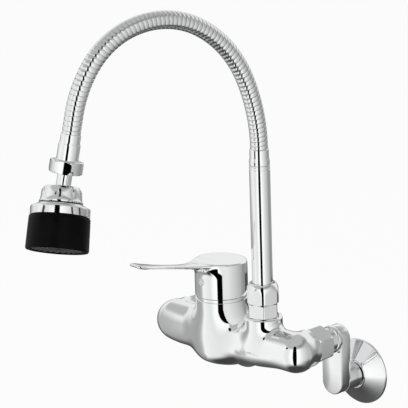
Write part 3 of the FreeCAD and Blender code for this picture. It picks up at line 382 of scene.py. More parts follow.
def polished(piece, field, place):
    mesh = piece.data  # shading follows the field itself wherever the skin lies on it
    corners = np.array([corner.vector for corner in mesh.corner_normals])
    owners = np.array([loop.vertex_index for loop in mesh.loops])
    inward = np.array(place.inverted())
    spots = np.array([vert.co for vert in mesh.vertices]) / mm @ inward[:3, :3].T + inward[:3, 3]
    value, slope = slopeOf(field, spots)
    slope = slope / np.linalg.norm(slope, axis=1)[:, None] @ np.array(place)[:3, :3].T
    agree = (corners * slope[owners]).sum(axis=1) > math.cos(math.radians(35))
    onSkin = agree & (np.abs(value[owners]) < 0.03)
    corners[onSkin] = slope[owners][onSkin]
    mesh.normals_split_custom_set(corners.tolist())
    print("polished,", int(onSkin.sum()), "of", len(corners), "corners")


def sliced(shape, spot, facing):
    plane = bmesh.ops.bisect_plane(shape, geom=shape.verts[:] + shape.edges[:] + shape.faces[:], dist=0.0005,
                                   plane_co=spot, plane_no=facing, clear_outer=True, clear_inner=False)
    rim = [part for part in plane["geom_cut"] if isinstance(part, bmesh.types.BMEdge)]
    bmesh.ops.holes_fill(shape, edges=rim, sides=0)
    return shape


def bored(piece, *tools):
    for tool in tools:
        bmesh.ops.scale(tool, vec=(mm, mm, mm), verts=tool.verts)
        cutter = shown("tool", meshOf(tool, "tool"))
        hole = piece.modifiers.new("hole", "BOOLEAN")
        hole.operation = "DIFFERENCE"
        hole.solver = "EXACT"
        hole.object = cutter
        cut = bpy.data.meshes.new_from_object(piece.evaluated_get(bpy.context.evaluated_depsgraph_get()))
        piece.modifiers.clear()
        piece.data = cut
        bpy.data.objects.remove(cutter)
    piece.data.set_sharp_from_angle(angle=math.radians(35))
    return piece


# Camera: the photograph's own view, fitted to the unions, the housing, the riser and the flange
shot = {"azimuth": 45.5, "elevation": 15.2, "lean": 1.9, "away": 1.78, "target": (-0.0168, -0.105, 0.1648),
        "sensor": 36, "lens": 176.47}


def makeCamera():
    azimuth, elevation, lean = (math.radians(shot[key]) for key in ("azimuth", "elevation", "lean"))
    flat = math.cos(elevation)
    back = Vector((math.sin(azimuth) * flat, -math.cos(azimuth) * flat, math.sin(elevation)))
    level = Vector((math.cos(azimuth), math.sin(azimuth), 0))
    above = back.cross(level)
    right = level * math.cos(lean) - above * math.sin(lean)
    up = above * math.cos(lean) + level * math.sin(lean)
    data = bpy.data.cameras.new("photo_camera")
    data.sensor_fit = "HORIZONTAL"
    data.sensor_width = shot["sensor"]
    data.lens = shot["lens"]
    data.clip_start = 0.05
    camera = shown("photo_camera", data)
    turn = Matrix((right, up, back)).transposed().to_4x4()
    camera.matrix_world = Matrix.Translation(Vector(shot["target"]) + back * shot["away"]) @ turn
    bpy.context.scene.camera = camera


makeCamera()

# Studio: a pale floor, two soft lamps, and a room lit card by card, each card an azimuth and its strength.
# A slot is an unlit strip: azimuth, half width, low and high end, depth, softness of sides and of ends
studio = {
    "floorLevel": -0.32, "floorSize": 4, "floor": (0.86, 0.86, 0.86), "mottle": (0.82, 0.82, 0.82),
    "fill": 0.55, "gain": 1.12, "ceiling": 0.46, "ceilingFrom": 38,
    "backWall": 0.8, "backWallFrom": 1, "backWallHalf": 108, "under": 0.05, "underFrom": -44,
    "cards": ((-180, 0.31), (-160, 0.32), (-128, 0.16), (-112, 0.16), (-98, 0.32), (-84, 0.52), (-66, 0.7),
              (-45, 0.9), (-25, 0.82), (-6, 0.76), (10, 0.96), (25, 1.05), (51, 1.05), (62, 0.98),
              (78, 0.82), (95, 0.66), (115, 0.54), (138, 0.37), (152, 0.27), (180, 0.31)),
    "slots": ((38, 12, -60, 55, 1.0, 2, 4), (118, 56, 45, 57, 0.5, 26, 9)),
    "lamps": ((0.9, -1.3, 1.5, 9, 0.9), (-1.4, -0.7, 1.0, 6, 0.8)), "lampsAim": (0, -0.13, 0.15),
}


def makeRoom():
    world = bpy.data.worlds.new("studio_room")
    bpy.context.scene.world = world
    look = Look(world)
    way = look.node("ShaderNodeTexCoord", {}, {}, "Generated")
    x = look.node("ShaderNodeSeparateXYZ", {}, {0: way})
    y = x.sister(1)
    z = x.sister(2)
    azimuth = look.node("ShaderNodeMath", {"operation": "ARCTAN2"}, {0: x, 1: y * -1}) * (180 / math.pi)
    height = look.node("ShaderNodeMath", {"operation": "ARCSINE"}, {0: z}) * (180 / math.pi)

    def past(value, edge, soft):
        return look.spread(value, edge - soft, edge + soft, 0, 1, "SMOOTHSTEP")

    def absolute(value):
        return look.node("ShaderNodeMath", {"operation": "ABSOLUTE"}, {0: value})

    def within(value, middle, half, soft):
        return 1 - past(absolute(value - middle), half, soft)

    def towards(strength, goal, mask):
        return strength + (goal - strength) * mask

    stops = [((angle + 180) / 360, level) for angle, level in studio["cards"]]
    seen = look.ramp((azimuth + 180) / 360, stops)
    behind = 1 - within(azimuth, shot["azimuth"], studio["backWallHalf"], 14)
    seen = towards(seen, studio["backWall"], behind * past(height, studio["backWallFrom"], 10))
    seen = towards(seen, studio["ceiling"], past(height, studio["ceilingFrom"], 6))
    seen = towards(seen, studio["under"], 1 - past(height, studio["underFrom"] - 10, 14))
    for middle, half, low, high, depth, softSides, softEnds in studio["slots"]:
        aside = 180 - absolute(180 - absolute(azimuth - middle))
        tall = within(height, (low + high) / 2, (high - low) / 2, softEnds)
        seen = seen * (1 - depth * within(aside, 0, half, softSides) * tall)
    seen = seen * studio["gain"]
    camera = look.node("ShaderNodeLightPath", {}, {}, "Is Camera Ray")
    glossy = camera.sister("Is Glossy Ray")
    through = camera.sister("Is Transmission Ray")
    matt = (1 - glossy) * (1 - through) * studio["fill"]
    strength = camera + (1 - camera) * (glossy * seen + through + matt)
    light = look.node("ShaderNodeBackground", {}, {"Color": (1, 1, 1, 1), "Strength": strength})
    look.end(light, "ShaderNodeOutputWorld")


def makeFloor():
    shape = bmesh.new()
    bmesh.ops.create_grid(shape, x_segments=4, y_segments=4, size=studio["floorSize"])
    floor = shown("floor", meshOf(shape, "floor"))
    floor.location.z = studio["floorLevel"]
    floor.visible_glossy = False
    pale = bpy.data.materials.new("pale_floor")
    look = Look(pale)
    mottle = look.noise(look.objectSpot(), 3, 2)
    base = look.between(mottle * 0.2, (*studio["floor"], 1), (*studio["mottle"], 1))
    camera = look.node("ShaderNodeLightPath", {}, {}, "Is Camera Ray")
    matt = look.surface({"Base Color": base, "Roughness": 0.9})
    look.end(look.node("ShaderNodeMixShader", {}, {0: camera * 0.93, 1: matt, 2: look.glow(1.0)}))
    floor.data.materials.append(pale)


def makeLamps():
    for number, (x, y, z, power, size) in enumerate(studio["lamps"]):
        data = bpy.data.lights.new(f"soft_lamp_{number}", "AREA")
        data.shape = "SQUARE"
        data.size = size
        data.energy = power
        lamp = shown(data.name, data)
        spot = Vector((x, y, z))
        aim = (Vector(studio["lampsAim"]) - spot).to_track_quat("-Z", "Y")
        lamp.matrix_world = Matrix.Translation(spot) @ aim.to_matrix().to_4x4()
        lamp.visible_glossy = False


makeRoom()
makeFloor()
makeLamps()
bpy.context.scene.view_settings.view_transform = "Standard"

# Flags and a card close to the part, seen only in its reflections, paint shade and a reflection into it: the
# dark flags paint shade into the reflections of the arms, the undersides and the spray head, and the glowing
# card paints a reflection on the cap's right side. A fade runs along the flag's own X or Y, up (1) or down
# (0), and so does a glow, from its first strength to its second
flags = {
    # the sheet on the left paints shade into the left arm's reflection
    "side_flag": {"place": (-0.16, -0.02, 0), "turn": 90, "pitch": 90, "size": (0.5, 0.36), "most": 0.5,
                  "fades": (("X", -0.28, -0.18, 1), ("X", -0.15, -0.05, 0),
                            ("Y", 0.06, 0.14, 0), ("Y", -0.175, -0.14, 1))},
    # the sheet beneath the part paints shade into the reflections of the arms' undersides and the housing's
    # foot
    "low_flag": {"place": (-0.05, 0.1, -0.05), "turn": 0, "pitch": 0, "size": (0.7, 0.6), "most": 0.92,
                 "fades": (("Y", -0.27, -0.1, 1), ("X", 0.2, 0.34, 0), ("X", -0.34, -0.26, 1))},
    # a glowing card beside the cap paints a reflection into the cap's right side, in place of the riser's
    "cap_card": {"place": (0.0148, -0.0795, 0.087), "turn": 90, "pitch": 90, "size": (0.07, 0.054),
                 "most": 1.0, "glow": ("X", -0.0245, 0.0055, 0.86, 0.3)},
    # small sheets by the spray head paint dark reflections into it
    "head_flag_left": {"place": (-0.0151, -0.3507, 0.2267), "turn": -23, "pitch": 90, "size": (0.0113, 0.02),
                       "most": 0.97},
    "head_flag_right": {"place": (0.0675, -0.2829, 0.2206), "turn": 101, "pitch": 90, "size": (0.0075, 0.02),
                        "most": 0.97},
    "head_flag_back": {"place": (0.0593, -0.2521, 0.207), "turn": 132, "pitch": 90, "size": (0.0078, 0.02),
                       "most": 0.97},
}


def makeFlag(name, facts):
    shape = bmesh.new()
    bmesh.ops.create_grid(shape, x_segments=2, y_segments=2, size=0.5)
    bmesh.ops.scale(shape, vec=(*facts["size"], 1), verts=shape.verts)
    flag = shown(name, meshOf(shape, name))
    turn = Matrix.Rotation(math.radians(facts["turn"]), 4, "Z")
    pitch = Matrix.Rotation(math.radians(facts["pitch"]), 4, "X")
    flag.matrix_world = Matrix.Translation(facts["place"]) @ turn @ pitch
    for ray in ("camera", "diffuse", "shadow", "transmission", "volume_scatter"):
        setattr(flag, "visible_" + ray, False)
    paint = bpy.data.materials.new(name)
    look = Look(paint)
    spread = look.node("ShaderNodeSeparateXYZ", {}, {0: look.objectSpot()})
    along = {"X": spread, "Y": spread.sister(1)}
    cover = look.node("ShaderNodeValue", {}, {})
    cover.socket.default_value = facts["most"]
    for axis, start, end, rising in facts.get("fades", ()):
        cover = cover * look.spread(along[axis], start, end, 1 - rising, rising, "SMOOTHSTEP")
    # where a sheet covers, it glows: faintly on the dark flags, which is painted shade, and brightly on the
    # cap card, which is a painted reflection
    axis, start, end, first, second = facts.get("glow", ("X", 0, 1, 0.05, 0.05))
    lit = look.glow(look.spread(along[axis], start, end, first, second))
    clear = look.node("ShaderNodeBsdfTransparent", {}, {})
    look.end(look.node("ShaderNodeMixShader", {}, {0: cover, 1: clear, 2: lit}))
    flag.data.materials.append(paint)


for name, facts in flags.items():
    makeFlag(name, facts)
print("camera and studio ready")

# Valve body: housing and two elbow arms as one soft casting
body = {
    "spacing": 150, "rise": 41, "out": 88.5, "armRadius": 17.8, "armRound": 17.2, "stubRadius": 16.7,
    "stubRound": 2, "stubStart": 60, "shoulder": 72, "shift": -14.5, "housingRadius": 23.75,
    "housingTop": 75, "housingFoot": 16.1, "footRound": 11, "castTop": 84, "flow": ((26, 62), (16.0, 15.0)),
    "elbow": 3.0, "sag": 1.7, "sagFrom": 80, "sagFade": 35, "grid": 1.0, "thread": 13.1, "threadEnd": 62.5,
    "spotFace": 18.6, "bore": 7, "boreEnd": 82, "toolStart": 50, "well": 20.15, "wellFloor": 52.2,
    "chamber": 20.9, "chamberFloor": 66.3, "bossShift": 37, "bossRadius": 17.1, "bossTop": 67.5,
    "bossRound": 1.6, "bossFlow": 6.0,
}
housingPlace = upright(body["shift"], body["out"])
bossPlace = upright(body["bossShift"], body["out"])


def bodyField(spots):
    x, y, z = spots.T
    half = body["spacing"] / 2
    near = np.clip((body["sagFrom"] - np.abs(x - body["shift"])) / body["sagFade"], 0, 1)
    sag = body["sag"] * near * near * (3 - 2 * near)  # the arms deepen towards the housing
    radial = np.hypot(y + body["out"], z - body["rise"] + sag) - sag
    arm = roundRod(radial, np.abs(x) - half - body["armRadius"], body["armRadius"], body["armRound"])
    side = np.hypot(np.abs(x) - half, z - body["rise"])
    ends = np.maximum(y + body["threadEnd"], -(y + body["out"]))
    stub = roundRod(side, ends, body["stubRadius"], body["stubRound"])
    elbows = smoothLow(arm, stub, body["elbow"])
    radial = np.hypot(x - body["shift"], y + body["out"])
    housing = roundRod(radial, body["housingFoot"] - z, body["housingRadius"], body["footRound"])
    housing = np.maximum(housing, z - body["castTop"])
    radial = np.hypot(x - body["bossShift"], y + body["out"])
    boss = roundRod(radial, z - body["bossTop"], body["bossRadius"], body["bossRound"])
    boss = np.maximum(boss, body["rise"] - z)
    flow = np.interp(z, *body["flow"])
    return smoothLow(smoothLow(elbows, boss, body["bossFlow"]), housing, flow)


def bodyBlank():
    radius = body["armRadius"]
    reach = body["spacing"] / 2 + radius
    arm = turned([
        (0, -reach), (radius - 1, -reach + 5), (radius, -reach + 12), (radius, reach - 12),
        (radius - 1, reach - 5), (0, reach)], 48)
    lying = Matrix.Rotation(math.radians(90), 4, "Y")
    arm.transform(Matrix.Translation((0, -body["out"], body["rise"])) @ lying)
    radius = body["housingRadius"]
    foot = body["housingFoot"]
    top = body["castTop"] - 1
    housing = turned([(0, foot), (radius - 3, foot + 2), (radius, 26), (radius, top), (0, top)], 48)
    housing.transform(housingPlace)
    boss = rod(body["bossRadius"], body["rise"], body["bossTop"])
    boss.transform(bossPlace)
    stubs = []
    for side in (-1, 1):
        stub = rod(body["stubRadius"], body["stubStart"], body["out"])
        stub.transform(outOfWall(body["spacing"] / 2 * side, 0, body["rise"]))
        stubs.append(stub)
    return join(arm, housing, boss, *stubs)


def makeBody():
    shape = drawnOnto(bodyBlank(), bodyField, body["grid"])
    sliced(shape, (0, 0, body["housingTop"]), (0, 0, 1))
    print("body casting,", len(shape.faces), "faces")
    piece = ready(shape, "body_casting", "body", "plated_brass", ["valve_body"], crease=40)
    mouth = body["housingTop"] + 2
    well, chamber, floor = body["well"], body["chamber"], body["chamberFloor"]
    well = turned([
        (0, body["wellFloor"]), (well, body["wellFloor"]), (well, floor), (chamber, floor),
        (chamber, mouth), (0, mouth)], 96)
    well.transform(housingPlace)
    outlet = turned([
        (0, 46), (8, 46), (8, 56.4), (10.5, 56.4), (10.5, body["bossTop"]), (14.9, body["bossTop"]),
        (14.9, 74), (0, 74)], 64)
    outlet.transform(bossPlace)
    tools = [outlet]
    start = body["toolStart"]
    for side in (-1, 1):  # the stub is turned down to its thread, and the arm behind it spot faced
        turning = band(body["thread"], body["spotFace"], start, body["shoulder"])
        bore = rod(body["bore"], start, body["boreEnd"])
        for tool in (turning, bore):
            tool.transform(outOfWall(body["spacing"] / 2 * side, 0, body["rise"]))
            tools.append(tool)
    polished(bored(piece, join(well, *tools)), bodyField, Matrix())


makeBody()
print("body ready")

# Wall side: flange, connector link, rings and union nut, once for each inlet
wall = {
    "flange": 30.5, "flangeDepth": 11, "sheet": 1.2, "pipe": 12, "bore": 6.5, "link": 11.7, "linkStart": 28,
    "linkThick": 13, "collar": 11, "collarEnd": 57.9, "ring": 12.5, "thread": 10.4, "threadLength": 13,
    "threadPitch": 1.4, "nutFlats": 30, "nutStart": 54, "nutEnd": 71.4, "nutBore": 13.3,
}


def linkShape():
    shape = bmesh.new()
    bmesh.ops.create_circle(shape, cap_ends=True, segments=72, radius=wall["link"])
    for vert in shape.verts:  # the upper half of the circle moves up, which leaves a slot shape
        if vert.co.y > 0.01:
            vert.co.y += body["rise"]
    base = shape.faces[:]
    bmesh.ops.translate(shape, vec=(0, 0, wall["linkStart"]), verts=shape.verts)
    grown = bmesh.ops.extrude_face_region(shape, geom=base)
    bmesh.ops.translate(shape, vec=(0, 0, wall["linkThick"]), verts=vertsOf(grown))
    bmesh.ops.recalc_face_normals(shape, faces=shape.faces)
    return soften(shape, 1.3, 50, 4)


def pipeShape():
    bore, thread, pipe = wall["bore"], wall["thread"], wall["pipe"]
    end = wall["linkStart"] + 2
    profile = [(bore, -wall["threadLength"]), (thread - 0.9, -wall["threadLength"])]
    for number in range(8):  # parallel thread, cut short of the flange
        foot = -wall["threadLength"] + 0.8 + number * wall["threadPitch"]
        profile += [(thread - 0.8, foot), (thread, foot + 0.35), (thread, foot + 0.75),
                    (thread - 0.8, foot + 1.1)]
    profile += [(thread - 0.5, -1), (pipe - 0.6, -0.2), (pipe, 0.4), (pipe, end), (bore, end)]
    return turned(profile, 96, ring=True)


def ringsShape():
    front = wall["linkStart"] + wall["linkThick"]
    bore, ring, collar = wall["bore"], wall["ring"], wall["collar"]
    rings = turned([
        (bore, front - 2), (ring - 0.6, front - 2), (ring, front - 1), (ring, front + 2.1),
        (ring - 0.7, front + 2.9), (collar, front + 3.2), (collar, front + 9.4),
        (collar - 0.6, front + 9.9), (collar - 0.6, front + 10.5), (collar, front + 11),
        (collar, wall["collarEnd"]), (12.6, 58.1), (12.6, 60.4), (bore, 60.4)], 96, ring=True)
    rings.transform(Matrix.Translation((0, body["rise"], 0)))
    return rings


def makeWallSide(side, x):
    depth = wall["flangeDepth"]
    wide = wall["flange"]
    neck = wall["pipe"] + 0.4
    crown = neck + wall["sheet"]
    flange = turned([
        (wide - 0.5, 0), (wide, 0.5), (wide, 2.0), (wide - 0.5, 2.7), (wide - 1.6, 3.1),
        (crown + 1.6, depth - 0.6), (crown + 0.2, depth + 0.2), (crown, depth + 0.8),
        (crown - 0.3, depth + 1.2), (neck + 0.1, depth + 1.2), (neck, depth - 1.2), (wide - 2.2, 1.2),
        (wide - 1.3, 0)], 128, ring=True)
    place = outOfWall(x, 0, 0)
    ready(flange, "flange_cover_" + side, "body", "plated_steel", ["wall_flange_" + side], place, crease=28)

    shape = linkShape()
    join(shape, soften(pipeShape(), 0.15, 30, 2), soften(ringsShape(), 0.25, 30, 2))
    ready(shape, "wall_elbow_" + side, "body", "plated_brass", ["wall_connector_" + side], place, crease=30)

    start, bore, collar = wall["nutStart"], wall["nutBore"], wall["collar"] + 0.15
    nut = hexNut(wall["nutFlats"], start, wall["nutEnd"], bore, 1.8, 1.6, 0, bore)
    join(nut, band(collar, 13.6, start + 0.3, 57.6, 96))
    place = outOfWall(x, 0, body["rise"])
    ready(nut, "union_hex_" + side, "body", "plated_brass", ["union_nut_" + side], place, crease=24)


for side, number in (("left", -1), ("right", 1)):
    makeWallSide(side, number * body["spacing"] / 2)
print("wall side ready")

# Cap and lever; the plan is the blade's half width at distances from the cap's axis
lever = {
    "radius": 24, "low": 79, "top": 110.6, "tilt": 2.5, "bend": 34, "curl": 87, "reach": 100.5, "slope": 12,
    "tipSlope": 18, "thick": 2.6, "tipThick": 3.2, "rootThick": 6, "rootEnd": 40, "yaw": 4, "grid": 0.5,
    "skirt": 8, "skirtCut": 20, "hollow": 20.9, "hollowTop": 104.1, "button": 94,
    "plan": ((0, 20), (9, 19.4), (18, 16.6), (24, 13.4), (30, 10.4), (38, 7.6), (48, 5.8), (58, 5.0),
             (68, 5.2), (78, 6.4), (87, 8.1), (93, 9.0), (97, 8.6), (100.5, 6.0)),
}
leverPlan = np.array(lever["plan"])


def leverTop(along):
    tilt, slope, tipSlope = (math.tan(math.radians(lever[key])) for key in ("tilt", "slope", "tipSlope"))
    bend = lever["top"] + lever["bend"] * tilt
    first = lever["top"] + along * tilt
    second = bend + (along - lever["bend"]) * slope
    third = bend + (lever["curl"] - lever["bend"]) * slope + (along - lever["curl"]) * tipSlope
    return smoothHigh(smoothHigh(first, second, 2.5), third, 3)


def leverField(spots):
    x, y, z = spots.T
    along = -y
    top = leverTop(along)
    above = z - top
    cap = smoothHigh(np.hypot(x, y) - lever["radius"], above, 3.0)
    cap = smoothHigh(cap, lever["low"] - lever["skirt"] - z, 1)
    halfWide = np.interp(along, leverPlan[:, 0], leverPlan[:, 1])
    thick = np.interp(along, (18, lever["rootEnd"], 86, 96),
                      (lever["rootThick"] + 1.5, lever["thick"] + 0.6, lever["thick"], lever["tipThick"]))
    undercut = np.interp(along, (20, 55, 80), (0.6, 0.4, 0.0)) * np.maximum(top - 0.9 - z, 0)
    crown = (x / np.maximum(halfWide, 4)) ** 2 * 0.35
    slab = smoothHigh(above + crown, top - thick - z, 0.9)
    blade = smoothHigh(smoothHigh(np.abs(x) - halfWide + undercut, slab, 2.0), along - lever["reach"], 3.0)
    blade = np.maximum(blade + np.clip((22 - along) / 18, 0, 1) ** 2 * 3, 4 - along)  # fades inside the cap
    return smoothLow(cap, blade, np.interp(-above, (1.5, 6), (3, 7)))


def leverBlank():
    cap = rod(22.5, 72, 108)
    blade = bmesh.new()
    bmesh.ops.create_grid(blade, x_segments=4, y_segments=24, size=0.5)
    bmesh.ops.translate(blade, vec=(0, -0.5, 0), verts=blade.verts)
    for vert in blade.verts:
        along = -vert.co.y * 99 + 1
        halfWide = float(np.interp(along, leverPlan[:, 0], leverPlan[:, 1]))
        vert.co = Vector((vert.co.x * 2 * 0.94 * halfWide, -along, 0))
    lifted = set(vertsOf(bmesh.ops.extrude_face_region(blade, geom=blade.faces[:])))
    for vert in blade.verts:
        level = float(leverTop(np.array(-vert.co.y)))
        vert.co.z = level - 0.2 if vert in lifted else level - 2.4 - max(0.0, 30 + vert.co.y) * 0.1
    bmesh.ops.recalc_face_normals(blade, faces=blade.faces)
    return join(cap, blade)


def makeHandle():
    shape = drawnOnto(leverBlank(), leverField, lever["grid"], rounds=7)
    sliced(shape, (0, 0, lever["low"]), (0, 0, -1))
    back = math.radians(lever["skirtCut"])  # the skirt's back edge rises, so that the lever can tilt
    sliced(shape, (0, 0.8, lever["low"]), (0, math.sin(back), -math.cos(back)))
    print("cap and lever,", len(shape.faces), "faces")
    place = housingPlace @ Matrix.Rotation(math.radians(-lever["yaw"]), 4, "Z")
    piece = ready(shape, "cap_and_lever", "lever", "plated_zinc", ["handle"], place, crease=40)
    wide, top = lever["hollow"], lever["hollowTop"]
    hollow = turned([(0, 70), (wide, 70), (wide, top - 0.9), (wide - 0.9, top), (0, top)], 96)
    plugHole = rod(3.5, 10, 30)
    plugHole.transform(outOfWall(0, 0, lever["button"]))
    for tool in (hollow, plugHole):
        tool.transform(place)
    polished(bored(piece, hollow, plugHole), leverField, place)

    button = turned([
        (0, 19.4), (3.35, 19.4), (3.35, 24.3), (3.0, 24.6), (2.4, 24.5), (2.2, 24.2), (1.5, 24.5),
        (0, 24.7)], 64)
    place = place @ outOfWall(0, 0, lever["button"])
    ready(soften(button, 0.12, 20, 2), "mixing_button", "lever", "plug_plastic", ["indicator_plug"], place)


makeHandle()
print("handle ready")

# Riser: outlet hexagon, nut, tube and ferrule
riser = {
    "tube": 9.2, "wall": 1.0, "foot": 93, "top": 206, "ferrule": 8.5, "ferruleFoot": 9.1,
    "ferruleLength": 14.5, "ferruleBore": 5.8, "hoseSocket": 7.95, "socketDepth": 9, "groove": 0.32,
}


def makeRiser():
    adapter = hexNut(25, body["bossTop"] + 0.05, 80, 7, 0.7, 0.7, 45)
    neck = band(7, 10.35, 56.6, body["bossTop"] + 0.4)
    top = turned([(9.95, 79), (12.1, 79), (12.1, 90.4), (11.6, 91), (9.95, 91)], 72, ring=True)
    adapter = join(adapter, neck, top)
    ready(adapter, "outlet_hexagon", "body", "plated_brass", ["outlet_adapter"], bossPlace, crease=24)

    nut = hexNut(28, 80.6, 98.6, 12.4, 2.6, 9.2, 45, 9.6, topRadius=11.4, land=1.0, swell=0.9)
    ready(nut, "spout_hexagon", "body", "plated_brass", ["spout_nut"], bossPlace, crease=24)

    outer = riser["tube"]
    inner = outer - riser["wall"]
    top = riser["top"]
    profile = [(inner, riser["foot"]), (outer, riser["foot"])]
    profile += [(outer, riser["foot"] + (top - 6 - riser["foot"]) * share) for share in (0.25, 0.5, 0.75, 1)]
    for groove in (top - 3.4, top - 1.0):
        profile += [(outer, groove - 0.45), (outer - riser["groove"], groove - 0.2),
                    (outer - riser["groove"], groove + 0.2), (outer, groove + 0.45)]
    profile += [(outer, top), (inner, top)]
    tube = turned(profile, 128, ring=True)
    ready(tube, "riser_pipe", "spout", "plated_steel", ["riser_tube"], bossPlace, crease=30)

    end = top + riser["ferruleLength"]
    floor = end - riser["socketDepth"]
    foot, wide = riser["ferruleFoot"], riser["ferrule"]
    bore, socket = riser["ferruleBore"], riser["hoseSocket"]
    ferrule = turned([
        (inner - 0.1, top - 8), (inner - 0.1, top + 0.1), (foot - 0.35, top + 0.1), (foot, top + 0.6),
        (foot, top + 3.6), (8.9, top + 4.8), (8.62, top + 5.8), (wide, top + 7), (wide, end - 0.6),
        (8.2, end - 0.1), (socket, end), (socket, floor), (bore, floor), (bore, top - 8)], 128, ring=True)
    ready(ferrule, "lower_ferrule", "spout", "plated_brass", ["riser_ferrule"], bossPlace, crease=30)


makeRiser()
print("riser ready")

# Gooseneck: one interlocked strip hose, wound straight and then bent along its line
hose = {
    "yaw": 12, "top": 220.5, "entry": 8.8, "radius": 7.8, "valley": 6.8, "inside": 6.3, "pitch": 4.1,
    "around": 40, "arcs": ((162, 24), (103, 36), (87, 48), (75.5, 36), (102, 23)), "endRun": 24,
    "liner": 5.55, "linerInside": 4.2, "linerRows": 80, "bendPart": 3,
}
forward = Vector((-math.sin(math.radians(hose["yaw"])), -math.cos(math.radians(hose["yaw"])), 0))
upward = Vector((0, 0, 1))
sideways = upward.cross(forward)


def heading(turnedBy):
    angle = math.radians(turnedBy)
    return forward * math.sin(angle) + upward * math.cos(angle)


def routeParts():
    point = Vector((body["bossShift"], -body["out"], hose["top"]))
    turnedBy = 0.0
    distance = hose["entry"]
    parts = [(0.0, distance, point - upward * hose["entry"], 0.0, None)]
    for radius, turn in hose["arcs"]:
        centre = point + heading(turnedBy + 90) * radius
        length = radius * math.radians(turn)
        parts.append((distance, length, centre, turnedBy, radius))
        point = centre - heading(turnedBy + turn + 90) * radius
        turnedBy += turn
        distance += length
    parts.append((distance, hose["endRun"], point, turnedBy, None))
    return parts, distance + hose["endRun"], point + heading(turnedBy) * hose["endRun"], turnedBy


hoseParts, hoseLength, hoseEnd, totalTurn = routeParts()


def alongHose(distance):
    for start, length, spot, turnedBy, radius in hoseParts:
        if distance <= start + length or (start, length) == hoseParts[-1][:2]:
            into = distance - start
            if radius is None:
                return spot + heading(turnedBy) * into, turnedBy
            now = turnedBy + math.degrees(into / radius)
            return spot - heading(now + 90) * radius, now


def bendOnto(shape):
    for vert in shape.verts:
        spot, turnedBy = alongHose(min(max(vert.co.z, 0), hoseLength))
        vert.co = spot + sideways * vert.co.x - heading(turnedBy + 90) * vert.co.y
    bmesh.ops.recalc_face_normals(shape, faces=shape.faces)
    return shape


def woundStrip():
    pitch = hose["pitch"]
    turns = int((hoseLength - pitch) / pitch)
    shape = bmesh.new()
    crest, valley = hose["radius"], hose["valley"]
    profile = [(valley, 0), (valley, 0.18), (crest - 0.14, 0.32), (crest, 0.65), (crest, 3.5),
               (crest - 0.12, 3.85), (valley, 4.0), (valley, pitch)]
    spots = [shape.verts.new((radius, 0, height)) for radius, height in profile]
    edges = [shape.edges.new(pair) for pair in zip(spots, spots[1:])]
    bmesh.ops.spin(shape, geom=spots + edges, cent=(0, 0, 0), axis=(0, 0, 1),
                   dvec=(0, 0, pitch / hose["around"]), angle=math.tau * turns,
                   steps=turns * hose["around"], use_merge=False)
    bmesh.ops.remove_doubles(shape, verts=shape.verts, dist=0.01)
    bmesh.ops.scale(shape, vec=(1, 1, hoseLength / ((turns + 1) * pitch)), verts=shape.verts)
    print("hose,", turns, "turns")
    return shape


def makeHose():
    shape = woundStrip()
    lining = [(hose["inside"], 0.3 + (hoseLength - 0.6) * number / 90) for number in range(91)]
    join(shape, turned(lining, hose["around"]))
    for low in (True, False):  # strip and lining are closed at both ends
        rims = [edge for edge in shape.edges if len(edge.link_faces) == 1]
        rims = [edge for edge in rims if (edge.verts[0].co.z < hoseLength / 2) == low]
        bmesh.ops.bridge_loops(shape, edges=rims)
    stands = ["hose_riser_side", "hose_bend_span", "hose_head_side"]
    piece = ready(bendOnto(shape), "strip_hose", None, "hose_steel", stands, crease=60)

    rows = [hoseLength * number / hose["linerRows"] for number in range(hose["linerRows"] + 1)]
    profile = [(hose["liner"], row) for row in rows] + [(hose["linerInside"], row) for row in reversed(rows)]
    inner = bendOnto(turned(profile, 32, ring=True))
    tube = ready(inner, "inner_hose", None, "liner_rubber", ["hose_liner"], crease=60)
    start, length = hoseParts[hose["bendPart"]][:2]
    begin, finish = (alongHose(start + share * length)[0] * mm for share in (0, 1))
    for soft in (piece, tube):
        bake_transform(soft)


makeHose()
print("hose ready")

# Fittings and spray head hang from the ball joint
joint = {
    "entry": 9, "ferrule": 22, "nut": 10.6, "neck": 11.9, "headTop": 10, "ball": 10.45, "stem": 6.15,
    "spannerFlats": 10.6, "tiltOut": 15.5, "swingOut": 4.9,
}
neckDown = heading(totalTurn)
hanging = joint["ferrule"] + joint["nut"] + joint["neck"] + joint["headTop"] - joint["entry"]
ballCentre = hoseEnd + neckDown * hanging


def hungFrom(down):
    zAxis = -down
    yAxis = (sideways - zAxis * sideways.dot(zAxis)).normalized()
    turn = Matrix((yAxis.cross(zAxis), yAxis, zAxis)).transposed().to_4x4()
    return Matrix.Translation(ballCentre) @ turn


tilt = math.radians(joint["tiltOut"])
headDown = heading(totalTurn - joint["swingOut"]) * math.cos(tilt) + sideways * math.sin(tilt)
neckPlace = hungFrom(neckDown)
headPlace = hungFrom(headDown)


